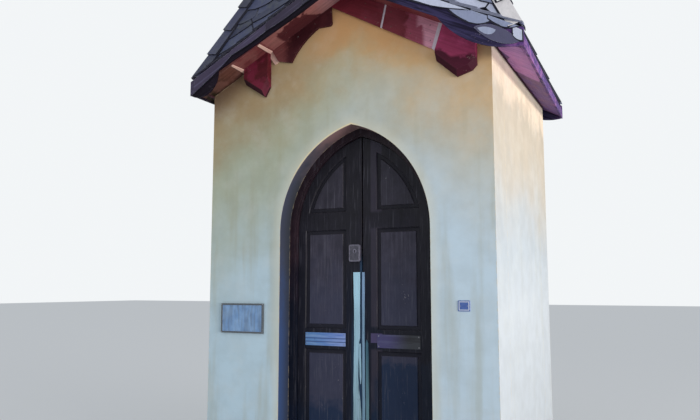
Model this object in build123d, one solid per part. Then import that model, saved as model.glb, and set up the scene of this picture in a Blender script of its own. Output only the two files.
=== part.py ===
from build123d import *
from math import acos, atan, atan2, cos, degrees, sqrt
import os

# Small pointed-arch chapel with a steep tent roof on two low gables.
# Millimetres, Z up. X 0 is the door axis, Y 0 the middle of the roof, Z 0 the ground.
# The front faces -Y.

# Masonry
wall_thickness = 350.0
left_wall_reach = 1345.0
right_wall_reach = 1140.0
wall_depth = 2050.0
floor_z = 137.0

# Roof plan and heights
side_overhang = 50.0
front_overhang = 247.0
back_overhang = 143.0
right_eave_taper = 105.0
eave_underside_z = 3260.0
gable_rise_ratio = 0.515
deck_thickness = 60.0
tent_apex_z = 6550.0
tent_drop_thickness = 235.0

# Roof edges
verge_thickness = 30.0
verge_height = 130.0
verge_lip = 15.0
right_dip_start = 800.0
right_dip_reach = 1100.0
right_dip = 95.0
left_lift_start = 365.0
left_lift_reach = 1140.0
left_lift = 48.0
left_droop_setback = 110.0
left_droop = 70.0
toe_trim = 8.0
fascia_thickness = 25.0
hip_cover_width = 75.0
hip_cover_lift = 14.0
cap_rise = 60.0
cap_half_height = 190.0

# Doorway
door_half_width = 650.0
spring_z = 2055.0
arch_radius = 865.0
reveal_depth = 163.0
rebate_width = 60.0

# Door frame and leaves
frame_face = 60.0
frame_depth = 90.0
leaf_thickness = 50.0
leaf_clearance = 5.0
leaf_gap = 12.0
leaf_gap_centre_x = 6.0
leaf_floor_clearance = 10.0
left_hanging_stile = 72.0
right_hanging_stile = 93.0
left_meeting_stile = 146.0
right_meeting_stile = 121.0
arch_rail = 78.0
bottom_rail_top_z = 306.0
middle_rail_bottom_z = 1100.0
middle_rail_top_z = 1275.0
transom_rail_bottom_z = 2068.0
transom_rail_top_z = 2224.0
panel_thickness = 20.0
panel_tongue = 10.0
panel_field_margin = 26.0
panel_field_rise = 8.0
panel_field_bevel = 7.0
opening_bevel = 6.0
frame_step = 14.0

# Door fittings
strip_thickness = 8.0
strip_top_z = 1723.0
left_strip_width = 72.0
right_strip_width = 36.0
strip_edge_setback = 2.0
rail_plate_thickness = 4.0
rail_plate_bottom_z = 1131.0
rail_plate_top_z = 1235.0
lock_width = 98.0
lock_height = 110.0
lock_depth = 28.0
lock_bottom_z = 1831.0
lock_edge_setback = 10.0
lock_corner = 7.0
keyhole_radius = 5.0
keyhole_slot_width = 4.0
keyhole_slot_length = 13.0
keyhole_depth = 9.0
latch_width = 26.0
latch_height = 52.0
latch_depth = 12.0
latch_gap = 4.0
hinge_radius = 9.0
knuckle_length = 60.0
knuckle_gap = 0.5
hinge_flap_width = 48.0
hinge_flap_thickness = 3.0
hinge_heights = (420.0, 1190.0, 1960.0)

# Trim under the gables: reaches from the door axis and drops below the soffit
frieze_thickness = 22.0
corbel_gap = 19.0
right_frieze_reach = 772.0
right_frieze_top_drop = 187.0
right_frieze_end_drop = 226.0
right_frieze_end_slant = 66.0
frieze_joint_reach = 305.0
frieze_joint_slant = 45.0
frieze_joint_width = 18.0
left_frieze_reach = 735.0
left_frieze_end_drop = 128.0
left_frieze_end_slant = 62.0
left_frieze_lobe_reach = 545.0
left_frieze_lobe_drop = 225.0
cove_end_reach = 290.0
cove_end_drop = 98.0
cove_depth = 34.0
scroll_reach = 188.0
scroll_drop = 152.0
scroll_radius = 24.0
corbel_depth = 60.0
corbel_chamfer = 38.0
steepest_bevelled = 0.95
right_corbel_shoulder_drop = 237.0
right_corbel_side_drop = 309.0
right_corbel_tip_inset = 157.0
right_corbel_tip_drop = 370.0
right_corbel_toe_inset = 271.0
right_corbel_toe_drop = 279.0
right_corbel_width = 309.0
right_corbel_outer_drop = 222.0
left_corbel_inner_drop = 300.0
left_corbel_tip_inset = 46.0
left_corbel_tip_drop = 357.0
left_corbel_width = 240.0
left_corbel_outer_drop = 128.0

# Boards on the front wall
info_board_width = 418.0
info_board_height = 244.0
info_board_thickness = 18.0
info_board_x = -1001.0
info_board_z = 1347.0
number_plate_width = 90.0
number_plate_height = 77.0
number_plate_thickness = 5.0
number_plate_x = 898.0
number_plate_z = 1470.0
number_plate_corner = 7.0
number_plate_dish = 1.5
info_board_rim = 14.0
info_board_recess = 4.0
sill_bevel = 12.0

# Positions that follow from the sizes
roof_half_width = left_wall_reach + side_overhang
roof_half_depth = (front_overhang + wall_depth + back_overhang) / 2
right_back_half_width = roof_half_width - right_eave_taper
front_face_y = -roof_half_depth + front_overhang
back_face_y = front_face_y + wall_depth
room_front_y = front_face_y + wall_thickness
room_back_y = back_face_y - wall_thickness
room_left_x = -left_wall_reach + wall_thickness
room_right_x = right_wall_reach - wall_thickness
frame_front_y = front_face_y + reveal_depth
frame_back_y = frame_front_y + frame_depth
leaf_back_y = frame_back_y
leaf_front_y = leaf_back_y - leaf_thickness
gable_pitch = atan(gable_rise_ratio)
deck_upright = deck_thickness / cos(gable_pitch)
gable_ridge_underside_z = eave_underside_z + roof_half_width * gable_rise_ratio
tent_base_z = eave_underside_z + deck_upright
tent_half_depth = roof_half_depth - verge_thickness
leaf_offset = -(frame_face + leaf_clearance)
leaf_edge_x = door_half_width + leaf_offset
leaf_bottom_z = floor_z + leaf_floor_clearance
left_leaf_meeting_x = leaf_gap_centre_x - leaf_gap / 2
right_leaf_meeting_x = leaf_gap_centre_x + leaf_gap / 2
hinge_x = leaf_edge_x + leaf_clearance / 2
hinge_y = leaf_back_y + hinge_radius
tent_slope_ratio = (tent_apex_z - tent_base_z) / roof_half_width
beyond = 3 * roof_half_width


def soffit_z(x):
    return gable_ridge_underside_z - gable_rise_ratio * abs(x)


def block(x0, x1, y0, y1, z0, z1):
    centre = Pos((x0 + x1) / 2, (y0 + y1) / 2, (z0 + z1) / 2)
    return centre * Box(x1 - x0, y1 - y0, z1 - z0)


def along_y(points, y0, y1):
    face = make_face(Plane.XZ.offset(-y0) * Polyline(*points, close=True))
    return extrude(face, amount=y1 - y0, dir=(0, 1, 0))


def pointed_arch(offset, bottom_z, y0, y1):
    half = door_half_width + offset
    radius = arch_radius + offset
    sweep = degrees(acos((radius - half) / radius))
    sides = Polyline((-half, spring_z), (-half, bottom_z), (half, bottom_z), (half, spring_z))
    right_arc = CenterArc((half - radius, spring_z), radius, 0, sweep)
    left_arc = CenterArc((radius - half, spring_z), radius, 180 - sweep, sweep)
    face = make_face(Plane.XZ.offset(-y0) * (sides + right_arc + left_arc))
    return extrude(face, amount=y1 - y0, dir=(0, 1, 0))


def save(shape, name):
    shape.label = name
    export_step(shape, "parts/" + name + ".step")


# Front wall with a rebated pointed doorway
house_outline = [
    (-left_wall_reach, 0),
    (right_wall_reach, 0),
    (right_wall_reach, soffit_z(right_wall_reach)),
    (0, gable_ridge_underside_z),
    (-left_wall_reach, soffit_z(left_wall_reach)),
]
front_wall = along_y(house_outline, front_face_y, room_front_y)
front_wall -= pointed_arch(0, -floor_z, front_face_y, frame_front_y)
front_wall -= pointed_arch(rebate_width, -floor_z, frame_front_y, room_front_y)
left_half = block(-beyond, 0, -beyond, beyond, 0, tent_apex_z)
right_half = block(0, beyond, -beyond, beyond, 0, tent_apex_z)
below_spring = block(-beyond, beyond, -beyond, beyond, 0, spring_z)
above_spring = block(-beyond, beyond, -beyond, beyond, spring_z, tent_apex_z)
save(front_wall & left_half & below_spring, "front_pier_left")
save(front_wall & right_half & below_spring, "front_pier_right")
save(front_wall & left_half & above_spring, "front_arch_left")
save(front_wall & right_half & above_spring, "front_arch_right")

# Side and back walls
left_wall_outline = [
    (-left_wall_reach, 0),
    (room_left_x, 0),
    (room_left_x, soffit_z(room_left_x)),
    (-left_wall_reach, soffit_z(left_wall_reach)),
]
right_wall_outline = [
    (room_right_x, 0),
    (right_wall_reach, 0),
    (right_wall_reach, soffit_z(right_wall_reach)),
    (room_right_x, soffit_z(room_right_x)),
]
save(along_y(left_wall_outline, room_front_y, room_back_y), "left_wall")
save(along_y(right_wall_outline, room_front_y, room_back_y), "right_wall")
save(along_y(house_outline, room_back_y, back_face_y), "back_wall")

# Floor and sill
save(block(room_left_x, room_right_x, room_front_y, room_back_y, 0, floor_z), "floor_slab")
rebate_half = door_half_width + rebate_width
sill = block(-door_half_width, door_half_width, front_face_y, frame_front_y, 0, floor_z)
sill += block(-rebate_half, rebate_half, frame_front_y, room_front_y, 0, floor_z)
sill_nose = sill.faces().sort_by(Axis.Y)[0].edges().sort_by(Axis.Z)[-1]
save(chamfer(sill_nose, sill_bevel), "door_sill")

# Door frame, fitted in the rebate
frame_ring = pointed_arch(rebate_width, floor_z, frame_front_y, frame_back_y)
frame_ring -= pointed_arch(-frame_face, 0, frame_front_y, frame_back_y)
frame_ring -= pointed_arch(frame_step - frame_face, 0, frame_front_y, frame_front_y + frame_step)
save(frame_ring & left_half & below_spring, "door_frame_jamb_left")
save(frame_ring & right_half & below_spring, "door_frame_jamb_right")
save(frame_ring & left_half & above_spring, "door_frame_arch_left")
save(frame_ring & right_half & above_spring, "door_frame_arch_right")

# Door leaves: stiles and rails around three grooved panels each
panel_front_y = (leaf_front_y + leaf_back_y - panel_thickness) / 2
panel_back_y = panel_front_y + panel_thickness
left_panel_x0 = -leaf_edge_x + left_hanging_stile
left_panel_x1 = left_leaf_meeting_x - left_meeting_stile
right_panel_x0 = right_leaf_meeting_x + right_meeting_stile
right_panel_x1 = leaf_edge_x - right_hanging_stile


def leaf_panels(x0, x1, grow, y0, y1):
    arch_inside = pointed_arch(leaf_offset - arch_rail + grow, leaf_bottom_z, y0, y1)
    tall = block(x0 - grow, x1 + grow, y0, y1, transom_rail_top_z - grow, tent_apex_z)
    top = tall & arch_inside
    upper = block(x0 - grow, x1 + grow, y0, y1, middle_rail_top_z - grow, transom_rail_bottom_z + grow)
    lower = block(x0 - grow, x1 + grow, y0, y1, bottom_rail_top_z - grow, middle_rail_bottom_z + grow)
    return [top, upper, lower]


def front_rim_edges(shape):
    return shape.faces().sort_by(Axis.Y)[0].outer_wire().edges()


def door_leaf(x0, x1, panel_x0, panel_x1):
    outline = pointed_arch(leaf_offset, leaf_bottom_z, leaf_front_y, leaf_back_y)
    leaf = outline & block(x0, x1, leaf_front_y, leaf_back_y, leaf_bottom_z, tent_apex_z)
    for opening in leaf_panels(panel_x0, panel_x1, 0, leaf_front_y, leaf_back_y):
        leaf -= opening
    front_face = leaf.faces().sort_by(Axis.Y)[0]
    opening_edges = [edge for wire in front_face.inner_wires() for edge in wire.edges()]
    leaf = chamfer(opening_edges, opening_bevel)
    panels = leaf_panels(panel_x0, panel_x1, panel_tongue, panel_front_y, panel_back_y)
    field_y = panel_front_y - panel_field_rise
    fields = leaf_panels(panel_x0, panel_x1, -panel_field_margin, field_y, panel_front_y)
    raised = []
    for panel, field in zip(panels, fields):
        leaf -= panel
        raised.append((panel + chamfer(front_rim_edges(field), panel_field_bevel)).solid())
    return leaf, Compound(children=raised)


left_leaf, left_panels = door_leaf(-leaf_edge_x, left_leaf_meeting_x, left_panel_x0, left_panel_x1)
right_leaf, right_panels = door_leaf(right_leaf_meeting_x, leaf_edge_x, right_panel_x0, right_panel_x1)
save(left_leaf, "left_leaf_frame")
save(left_panels, "left_leaf_panels")
save(right_leaf, "right_leaf_frame")
save(right_panels, "right_leaf_panels")

# Cover strips, rail plates and lock on the front of the leaves
strip_front_y = leaf_front_y - strip_thickness
left_strip_x1 = left_leaf_meeting_x - strip_edge_setback
right_strip_x0 = right_leaf_meeting_x + strip_edge_setback
left_strip_x0 = left_strip_x1 - left_strip_width
right_strip_x1 = right_strip_x0 + right_strip_width
save(block(left_strip_x0, left_strip_x1, strip_front_y, leaf_front_y, leaf_bottom_z, strip_top_z), "left_leaf_strip")
save(block(right_strip_x0, right_strip_x1, strip_front_y, leaf_front_y, leaf_bottom_z, strip_top_z), "right_leaf_strip")
plate_front_y = leaf_front_y - rail_plate_thickness
plate_z = (rail_plate_bottom_z, rail_plate_top_z)
save(block(left_panel_x0, left_panel_x1, plate_front_y, leaf_front_y, *plate_z), "left_leaf_plate")
save(block(right_panel_x0, right_panel_x1, plate_front_y, leaf_front_y, *plate_z), "right_leaf_plate")
lock_x1 = left_leaf_meeting_x - lock_edge_setback
lock_x0 = lock_x1 - lock_width
lock_front_y = leaf_front_y - lock_depth
lock_case = block(lock_x0, lock_x1, lock_front_y, leaf_front_y, lock_bottom_z, lock_bottom_z + lock_height)
latch_top_z = lock_bottom_z - latch_gap
latch_x0 = (lock_x0 + lock_x1 - latch_width) / 2
latch_front_y = leaf_front_y - latch_depth
latch = block(latch_x0, latch_x0 + latch_width, latch_front_y, leaf_front_y, latch_top_z - latch_height, latch_top_z)
lock_case = fillet(lock_case.edges().filter_by(Axis.Y), lock_corner)
keyhole_x = (lock_x0 + lock_x1) / 2
keyhole_z = lock_bottom_z + lock_height / 2
keyhole_y = lock_front_y + keyhole_depth
keyhole = Pos(keyhole_x, lock_front_y, keyhole_z) * Rot(90, 0, 0) * Cylinder(keyhole_radius, 2 * keyhole_depth)
slot_x0 = keyhole_x - keyhole_slot_width / 2
slot_z0 = keyhole_z - keyhole_slot_length
keyhole += block(slot_x0, slot_x0 + keyhole_slot_width, lock_front_y - keyhole_depth, keyhole_y, slot_z0, keyhole_z)
lock_case -= keyhole
save(Compound(children=[lock_case.solid(), latch.solid()]), "door_lock")


# Hinges: knuckles on the inside, one on the leaf between two on the frame
def knuckle(side, z0, z1, flap_x0, flap_x1):
    barrel = Pos(side * hinge_x, hinge_y, (z0 + z1) / 2) * Cylinder(hinge_radius, z1 - z0)
    x0 = min(side * flap_x0, side * flap_x1)
    x1 = max(side * flap_x0, side * flap_x1)
    flap = block(x0, x1, leaf_back_y, leaf_back_y + hinge_flap_thickness, z0, z1)
    return (barrel + flap).solid()


def leaf_knuckles(side):
    inner = hinge_x - hinge_flap_width
    return [knuckle(side, z, z + knuckle_length, inner, hinge_x) for z in hinge_heights]


def frame_knuckles(side):
    outer = hinge_x + hinge_flap_width
    pitch = knuckle_length + knuckle_gap
    lower = [knuckle(side, z - pitch, z - knuckle_gap, hinge_x, outer) for z in hinge_heights]
    upper = [knuckle(side, z + pitch, z + pitch + knuckle_length, hinge_x, outer) for z in hinge_heights]
    return lower + upper


save(Compound(children=leaf_knuckles(-1)), "left_leaf_hinges")
save(Compound(children=leaf_knuckles(1)), "right_leaf_hinges")
save(Compound(children=frame_knuckles(-1) + frame_knuckles(1)), "frame_hinges")


# Boarded decks of the low gable roof, open over the room
def deck_outline(x_inner, x_outer):
    return [
        (x_inner, soffit_z(x_inner)),
        (x_outer, soffit_z(x_outer)),
        (x_outer, soffit_z(x_outer) + deck_upright),
        (x_inner, soffit_z(x_inner) + deck_upright),
    ]


def right_eave_plan(overhang, outer_x):
    return [
        (roof_half_width + overhang, -tent_half_depth),
        (outer_x, -tent_half_depth),
        (outer_x - right_eave_taper, tent_half_depth),
        (right_back_half_width + overhang, tent_half_depth),
    ]


def upright(plan):
    return extrude(make_face(Polyline(*plan, close=True)), amount=2 * tent_apex_z)


past_right_eave = upright(right_eave_plan(0, beyond))
for side, name in ((-1, "left"), (1, "right")):
    outer_x = side * roof_half_width
    gable_outline = deck_outline(0, outer_x)
    front_deck = along_y(gable_outline, -tent_half_depth, room_front_y) - past_right_eave
    back_deck = along_y(gable_outline, room_back_y, tent_half_depth) - past_right_eave
    save(Compound(children=[front_deck.solid(), back_deck.solid()]), name + "_gable_decks")
    room_x = room_left_x if side < 0 else room_right_x
    eave_deck = along_y(deck_outline(room_x, outer_x), room_front_y, room_back_y) - past_right_eave
    save(eave_deck, name + "_eave_deck")

# Verge boards on the gable edges: the right one sags before its toe, the left one droops at it
verge_base_z = gable_ridge_underside_z - verge_lip


def verge_point(side, reach, rise):
    return (side * reach, verge_base_z - gable_rise_ratio * reach + rise)


def verge_board(side, toe_reach, y0, y1):
    toe = verge_point(side, toe_reach, toe_trim)
    if side > 0:
        start = verge_point(side, right_dip_start, 0)
        sag = verge_point(side, right_dip_reach, -right_dip)
        lower_edge = Line((0, verge_base_z), start) + ThreePointArc(start, sag, toe)
    else:
        level = verge_point(side, left_lift_start, 0)
        start = verge_point(side, left_lift_reach, left_lift)
        sag = verge_point(side, toe_reach - left_droop_setback, -left_droop)
        lower_edge = Polyline((0, verge_base_z), level, start) + ThreePointArc(start, sag, toe)
    top = verge_point(side, toe_reach, verge_height)
    upper_edge = Polyline(toe, top, (0, verge_base_z + verge_height), (0, verge_base_z))
    face = make_face(Plane.XZ.offset(-y0) * (lower_edge + upper_edge))
    return extrude(face, amount=y1 - y0, dir=(0, 1, 0)).solid()


for side, name in ((-1, "left"), (1, "right")):
    front_reach = roof_half_width + fascia_thickness
    back_reach = front_reach if side < 0 else front_reach - right_eave_taper
    front_verge = verge_board(side, front_reach, -roof_half_depth, -tent_half_depth)
    back_verge = verge_board(side, back_reach, tent_half_depth, roof_half_depth)
    save(Compound(children=[front_verge, back_verge]), name + "_verge_boards")

# Fascias along the side eaves; the right one follows the tapered eave
fascia_bottom_z = eave_underside_z - verge_lip
left_fascia_x = -roof_half_width - fascia_thickness
left_fascia_y = (-tent_half_depth, tent_half_depth)
save(block(left_fascia_x, -roof_half_width, *left_fascia_y, fascia_bottom_z, tent_base_z), "left_fascia")
fascia_band_outline = [
    (0, gable_ridge_underside_z - verge_lip),
    (beyond, soffit_z(beyond) - verge_lip),
    (beyond, soffit_z(beyond) + deck_upright),
    (0, gable_ridge_underside_z + deck_upright),
]
fascia_band = along_y(fascia_band_outline, -tent_half_depth, tent_half_depth)
right_fascia = upright(right_eave_plan(0, roof_half_width + fascia_thickness)) & fascia_band
save(right_fascia, "right_fascia")

# Frieze boards on the gable walls: a straight one on the right, a carved one on the left
def below_soffit(side, reach, drop):
    return (side * reach, soffit_z(reach) - drop)


def board_pair(outline, depth):
    face = make_face(Plane.XZ.offset(-front_face_y) * outline)
    front = extrude(face, amount=depth, dir=(0, -1, 0))
    back = extrude(Pos(0, wall_depth, 0) * face, amount=depth, dir=(0, 1, 0))
    return [front.solid(), back.solid()]


right_low = below_soffit(1, right_frieze_reach - right_frieze_end_slant, right_frieze_end_drop)
right_lower_slope = (gable_ridge_underside_z - right_frieze_top_drop - right_low[1]) / right_low[0]
frieze_meeting_reach = right_frieze_top_drop / (right_lower_slope + gable_rise_ratio)
frieze_meeting = below_soffit(-1, frieze_meeting_reach, 0)
right_frieze_outline = Polyline(
    frieze_meeting,
    right_low,
    below_soffit(1, right_frieze_reach, 0),
    (0, gable_ridge_underside_z),
    close=True,
)
joint_low_reach = frieze_joint_reach - frieze_joint_slant
frieze_joint_outline = [
    below_soffit(1, frieze_joint_reach, 0),
    below_soffit(1, joint_low_reach, right_frieze_end_drop),
    below_soffit(1, joint_low_reach + frieze_joint_width, right_frieze_end_drop),
    below_soffit(1, frieze_joint_reach + frieze_joint_width, 0),
]
frieze_joint = along_y(frieze_joint_outline, -beyond, beyond)
scroll_side_reach = scroll_reach - scroll_radius
scroll_low = below_soffit(-1, scroll_reach, scroll_drop)
scroll_side = (-scroll_side_reach, scroll_low[1] + scroll_radius)
scroll_mid_x = scroll_low[0] + scroll_radius * sqrt(0.5)
scroll_mid_z = scroll_low[1] + scroll_radius * (1 - sqrt(0.5))
cove_start = below_soffit(-1, left_frieze_lobe_reach, left_frieze_lobe_drop)
cove_end = below_soffit(-1, cove_end_reach, cove_end_drop)
cove_mid = ((cove_start[0] + cove_end[0]) / 2, (cove_start[1] + cove_end[1]) / 2 + cove_depth)
left_frieze_outline = (
    Polyline(scroll_side, frieze_meeting, below_soffit(-1, left_frieze_reach, 0))
    + Polyline(
        below_soffit(-1, left_frieze_reach, 0),
        below_soffit(-1, left_frieze_reach - left_frieze_end_slant, left_frieze_end_drop),
        cove_start,
    )
    + ThreePointArc(cove_start, cove_mid, cove_end)
    + Line(cove_end, scroll_low)
    + ThreePointArc(scroll_low, (scroll_mid_x, scroll_mid_z), scroll_side)
)
save(Compound(children=board_pair(left_frieze_outline, frieze_thickness)), "left_friezes")
right_boards = []
for board in board_pair(right_frieze_outline, frieze_thickness):
    right_boards += (board - frieze_joint).solids()
save(Compound(children=right_boards), "right_friezes")

# Pointed corbels beside the friezes, faceted below
right_corbel_top = right_frieze_reach + corbel_gap
right_corbel_inner = right_corbel_top - right_frieze_end_slant
right_corbel_outer = right_corbel_inner + right_corbel_width
right_corbel_outline = Polyline(
    below_soffit(1, right_corbel_top, 0),
    below_soffit(1, right_corbel_inner, right_corbel_shoulder_drop),
    below_soffit(1, right_corbel_inner, right_corbel_side_drop),
    below_soffit(1, right_corbel_inner + right_corbel_tip_inset, right_corbel_tip_drop),
    below_soffit(1, right_corbel_inner + right_corbel_toe_inset, right_corbel_toe_drop),
    below_soffit(1, right_corbel_outer, right_corbel_outer_drop),
    below_soffit(1, right_corbel_outer, 0),
    close=True,
)
left_corbel_inner = left_frieze_reach + corbel_gap
left_corbel_outer = left_corbel_inner + left_corbel_width
left_corbel_outline = Polyline(
    below_soffit(-1, left_corbel_inner, 0),
    below_soffit(-1, left_corbel_inner, left_corbel_inner_drop),
    below_soffit(-1, left_corbel_inner + left_corbel_tip_inset, left_corbel_tip_drop),
    below_soffit(-1, left_corbel_outer, left_corbel_outer_drop),
    below_soffit(-1, left_corbel_outer, 0),
    close=True,
)


def faceted(corbel, outward):
    outer_face = corbel.faces().sort_by(Axis.Y)[0 if outward < 0 else -1]
    points_down = [e for e in outer_face.edges() if outer_face.center().Z - e.center().Z > corbel_chamfer]
    sloping = [e for e in points_down if abs(e.tangent_at(0.5).Z) < steepest_bevelled]
    return chamfer(sloping, corbel_chamfer).solid()


corbels = []
for outline in (left_corbel_outline, right_corbel_outline):
    front_corbel, back_corbel = board_pair(outline, corbel_depth)
    corbels.append(faceted(front_corbel, -1))
    corbels.append(faceted(back_corbel, 1))
save(Compound(children=corbels), "corbels")


# Tent roof: four mitred slopes, cut to sit on the decks
roof_corners = [
    (-roof_half_width, -tent_half_depth),
    (roof_half_width, -tent_half_depth),
    (right_back_half_width, tent_half_depth),
    (-roof_half_width, tent_half_depth),
]


def pyramid(drop):
    feet = [Vector(x, y, soffit_z(x) + deck_upright - drop) for x, y in roof_corners]
    apex = Vector(0, 0, tent_apex_z - drop)
    triangles = [(feet[i], feet[(i + 1) % 4], apex) for i in range(4)]
    triangles += [(feet[0], feet[1], feet[2]), (feet[0], feet[2], feet[3])]
    return Solid(Shell([Face(Wire.make_polygon(triangle)) for triangle in triangles]))


def under_decks(lift):
    side_x = 2 * roof_half_width
    side_z = soffit_z(side_x) + deck_upright + lift
    ridge_z = gable_ridge_underside_z + deck_upright + lift
    return along_y([(-side_x, 0), (side_x, 0), (side_x, side_z), (0, ridge_z), (-side_x, side_z)], -beyond, beyond)


def between_hips(first, second):
    first_x, first_y = roof_corners[first]
    second_x, second_y = roof_corners[second]
    return upright([(0, 0), (2 * first_x, 2 * first_y), (2 * second_x, 2 * second_y)])


cap_base_z = tent_apex_z - cap_half_height
below_cap = block(-beyond, beyond, -beyond, beyond, 0, cap_base_z)
tent_shell = (pyramid(0) - pyramid(tent_drop_thickness) - under_decks(0)) & below_cap
save(tent_shell & between_hips(0, 1), "tent_slope_front")
save(tent_shell & between_hips(1, 2), "tent_slope_right")
save(tent_shell & between_hips(2, 3), "tent_slope_back")
save(tent_shell & between_hips(3, 0), "tent_slope_left")

# Metal covers over the four hips, and a cap over the apex
raised = pyramid(-hip_cover_lift) - pyramid(0) - under_decks(0)
within_eaves = block(-roof_half_width, roof_half_width, -tent_half_depth, tent_half_depth, 0, tent_apex_z)
raised = raised & below_cap & (within_eaves - past_right_eave)
covers = []
for x, y in roof_corners:
    hip_strip = block(0, beyond, -hip_cover_width, hip_cover_width, 0, 2 * tent_apex_z)
    covers += (raised & (Rot(0, 0, degrees(atan2(y, x))) * hip_strip)).solids()
save(Compound(children=covers), "hip_covers")
above_cap_base = block(-beyond, beyond, -beyond, beyond, cap_base_z, 2 * tent_apex_z)
save(pyramid(-cap_rise) & above_cap_base, "apex_cap")

# Information board with a raised rim, and a dished number plate
def on_front_wall(x, z, width, height, y0, y1):
    return block(x - width / 2, x + width / 2, y0, y1, z - height / 2, z + height / 2)


info_y0 = front_face_y - info_board_thickness
info_size = (info_board_width, info_board_height)
info_board = on_front_wall(info_board_x, info_board_z, *info_size, info_y0, front_face_y)
recess_size = (info_board_width - 2 * info_board_rim, info_board_height - 2 * info_board_rim)
info_board -= on_front_wall(info_board_x, info_board_z, *recess_size, info_y0, info_y0 + info_board_recess)
save(info_board, "info_board")
plate_y0 = front_face_y - number_plate_thickness
plate_size = (number_plate_width, number_plate_height)
number_plate = on_front_wall(number_plate_x, number_plate_z, *plate_size, plate_y0, front_face_y)
number_plate = fillet(number_plate.edges().filter_by(Axis.Y), number_plate_corner)
number_plate = chamfer(front_rim_edges(number_plate), number_plate_dish)
save(number_plate, "number_plate")
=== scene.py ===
# %% [markdown]
# # A small pointed-arch chapel
# The real building is a rendered masonry box, about 2.5 m wide and 2 m deep, with a pointed
# double door, a low boarded gable roof and a steep slated tent roof on top of it.
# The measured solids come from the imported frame. This file adds what paint, weather, slate and
# nails do to them, one piece at a time, in the order in which a builder would meet them.

# %% Load the measured frame
import random
from collections import namedtuple
from itertools import product
from math import atan, atan2, ceil, cos, pi, radians, sin, sqrt

import bmesh
import bpy
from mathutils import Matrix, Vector


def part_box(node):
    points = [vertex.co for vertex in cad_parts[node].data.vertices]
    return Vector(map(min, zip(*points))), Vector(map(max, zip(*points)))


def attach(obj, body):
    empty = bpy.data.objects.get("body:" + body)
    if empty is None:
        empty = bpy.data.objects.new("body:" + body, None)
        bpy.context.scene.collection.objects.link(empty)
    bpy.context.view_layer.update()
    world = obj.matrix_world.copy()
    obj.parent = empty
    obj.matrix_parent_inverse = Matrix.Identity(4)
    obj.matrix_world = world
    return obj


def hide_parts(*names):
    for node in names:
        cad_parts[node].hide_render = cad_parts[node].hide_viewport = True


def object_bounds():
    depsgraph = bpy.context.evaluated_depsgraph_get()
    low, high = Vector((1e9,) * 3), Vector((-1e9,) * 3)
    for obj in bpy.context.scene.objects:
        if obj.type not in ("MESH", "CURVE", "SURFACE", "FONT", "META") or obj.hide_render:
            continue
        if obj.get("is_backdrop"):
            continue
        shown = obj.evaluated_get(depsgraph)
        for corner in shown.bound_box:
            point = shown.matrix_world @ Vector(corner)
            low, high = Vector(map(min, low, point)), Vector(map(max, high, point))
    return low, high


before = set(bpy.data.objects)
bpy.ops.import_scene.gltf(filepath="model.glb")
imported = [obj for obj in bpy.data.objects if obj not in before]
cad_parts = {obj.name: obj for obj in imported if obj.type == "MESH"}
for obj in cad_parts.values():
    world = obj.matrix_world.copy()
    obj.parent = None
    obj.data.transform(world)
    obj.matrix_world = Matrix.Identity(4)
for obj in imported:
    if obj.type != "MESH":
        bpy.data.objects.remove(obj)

cad_box = [list(corner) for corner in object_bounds()]
print("measured box", cad_box)

# %% [markdown]
# ## Camera
# A photograph is matched by putting the camera where the photographer's eye was. Here that is
# standing height, a little to the right of the door, tilted up a few degrees. The lens follows
# from how fast the two walls shrink towards the back.

# %% Camera at the photographer's eye
camera_data = bpy.data.cameras.new("eye")
camera_data.lens = 34.66
camera_data.sensor_width = 36.0
camera = bpy.data.objects.new("eye", camera_data)
camera.location = (2.288, -5.697, 1.600)
camera.rotation_euler = (radians(96.57), 0.0, radians(25.92))
bpy.context.scene.collection.objects.link(camera)
bpy.context.scene.camera = camera
bpy.context.scene.view_settings.view_transform = "Standard"
print("camera stands", round(camera.location.xy.length, 2), "m from the middle of the chapel")

# %% [markdown]
# ## Light and floor
# The chapel stands in open shade with low light from its right, so the right wall is nearly
# twice as bright as the front, and the eaves throw no shadow down it. A wide softbox low over
# the ground gives that, since it also shines up under the eave. It stands well away and its
# spread is narrow, so that the floor gets no bright pool. A small one near the ground reaches
# the top of the wall behind the fascia, and an even sky fills the rest. The level is plain: a
# surface in the open renders about as its colour is written. The pale background is only what
# the camera and mirrors see of the sky, so it adds no light to the object.

# %% Two softboxes
WARM_WHITE = (1.0, 0.965, 0.92)


def softbox(name, width, height, watts, spread, stands_at, aims_at):
    data = bpy.data.lights.new(name, "AREA")
    data.shape = "RECTANGLE"
    data.size, data.size_y = width, height
    data.energy = watts
    data.spread = radians(spread)
    data.color = WARM_WHITE
    lamp = bpy.data.objects.new(name, data)
    lamp.location = stands_at
    lamp.rotation_euler = (lamp.location - Vector(aims_at)).to_track_quat("Z", "Y").to_euler()
    lamp.visible_camera = False
    bpy.context.scene.collection.objects.link(lamp)
    print(name, watts, "W")


softbox("low_softbox", 9.4, 2.7, 292.0, 64, (16.0, -5.65, 1.6), (0, 0, 3.0))
softbox("eave_fill", 3.2, 0.4, 15.0, 50, (7.4, -0.9, 0.35), (1.25, 0.0, 3.35))

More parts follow.
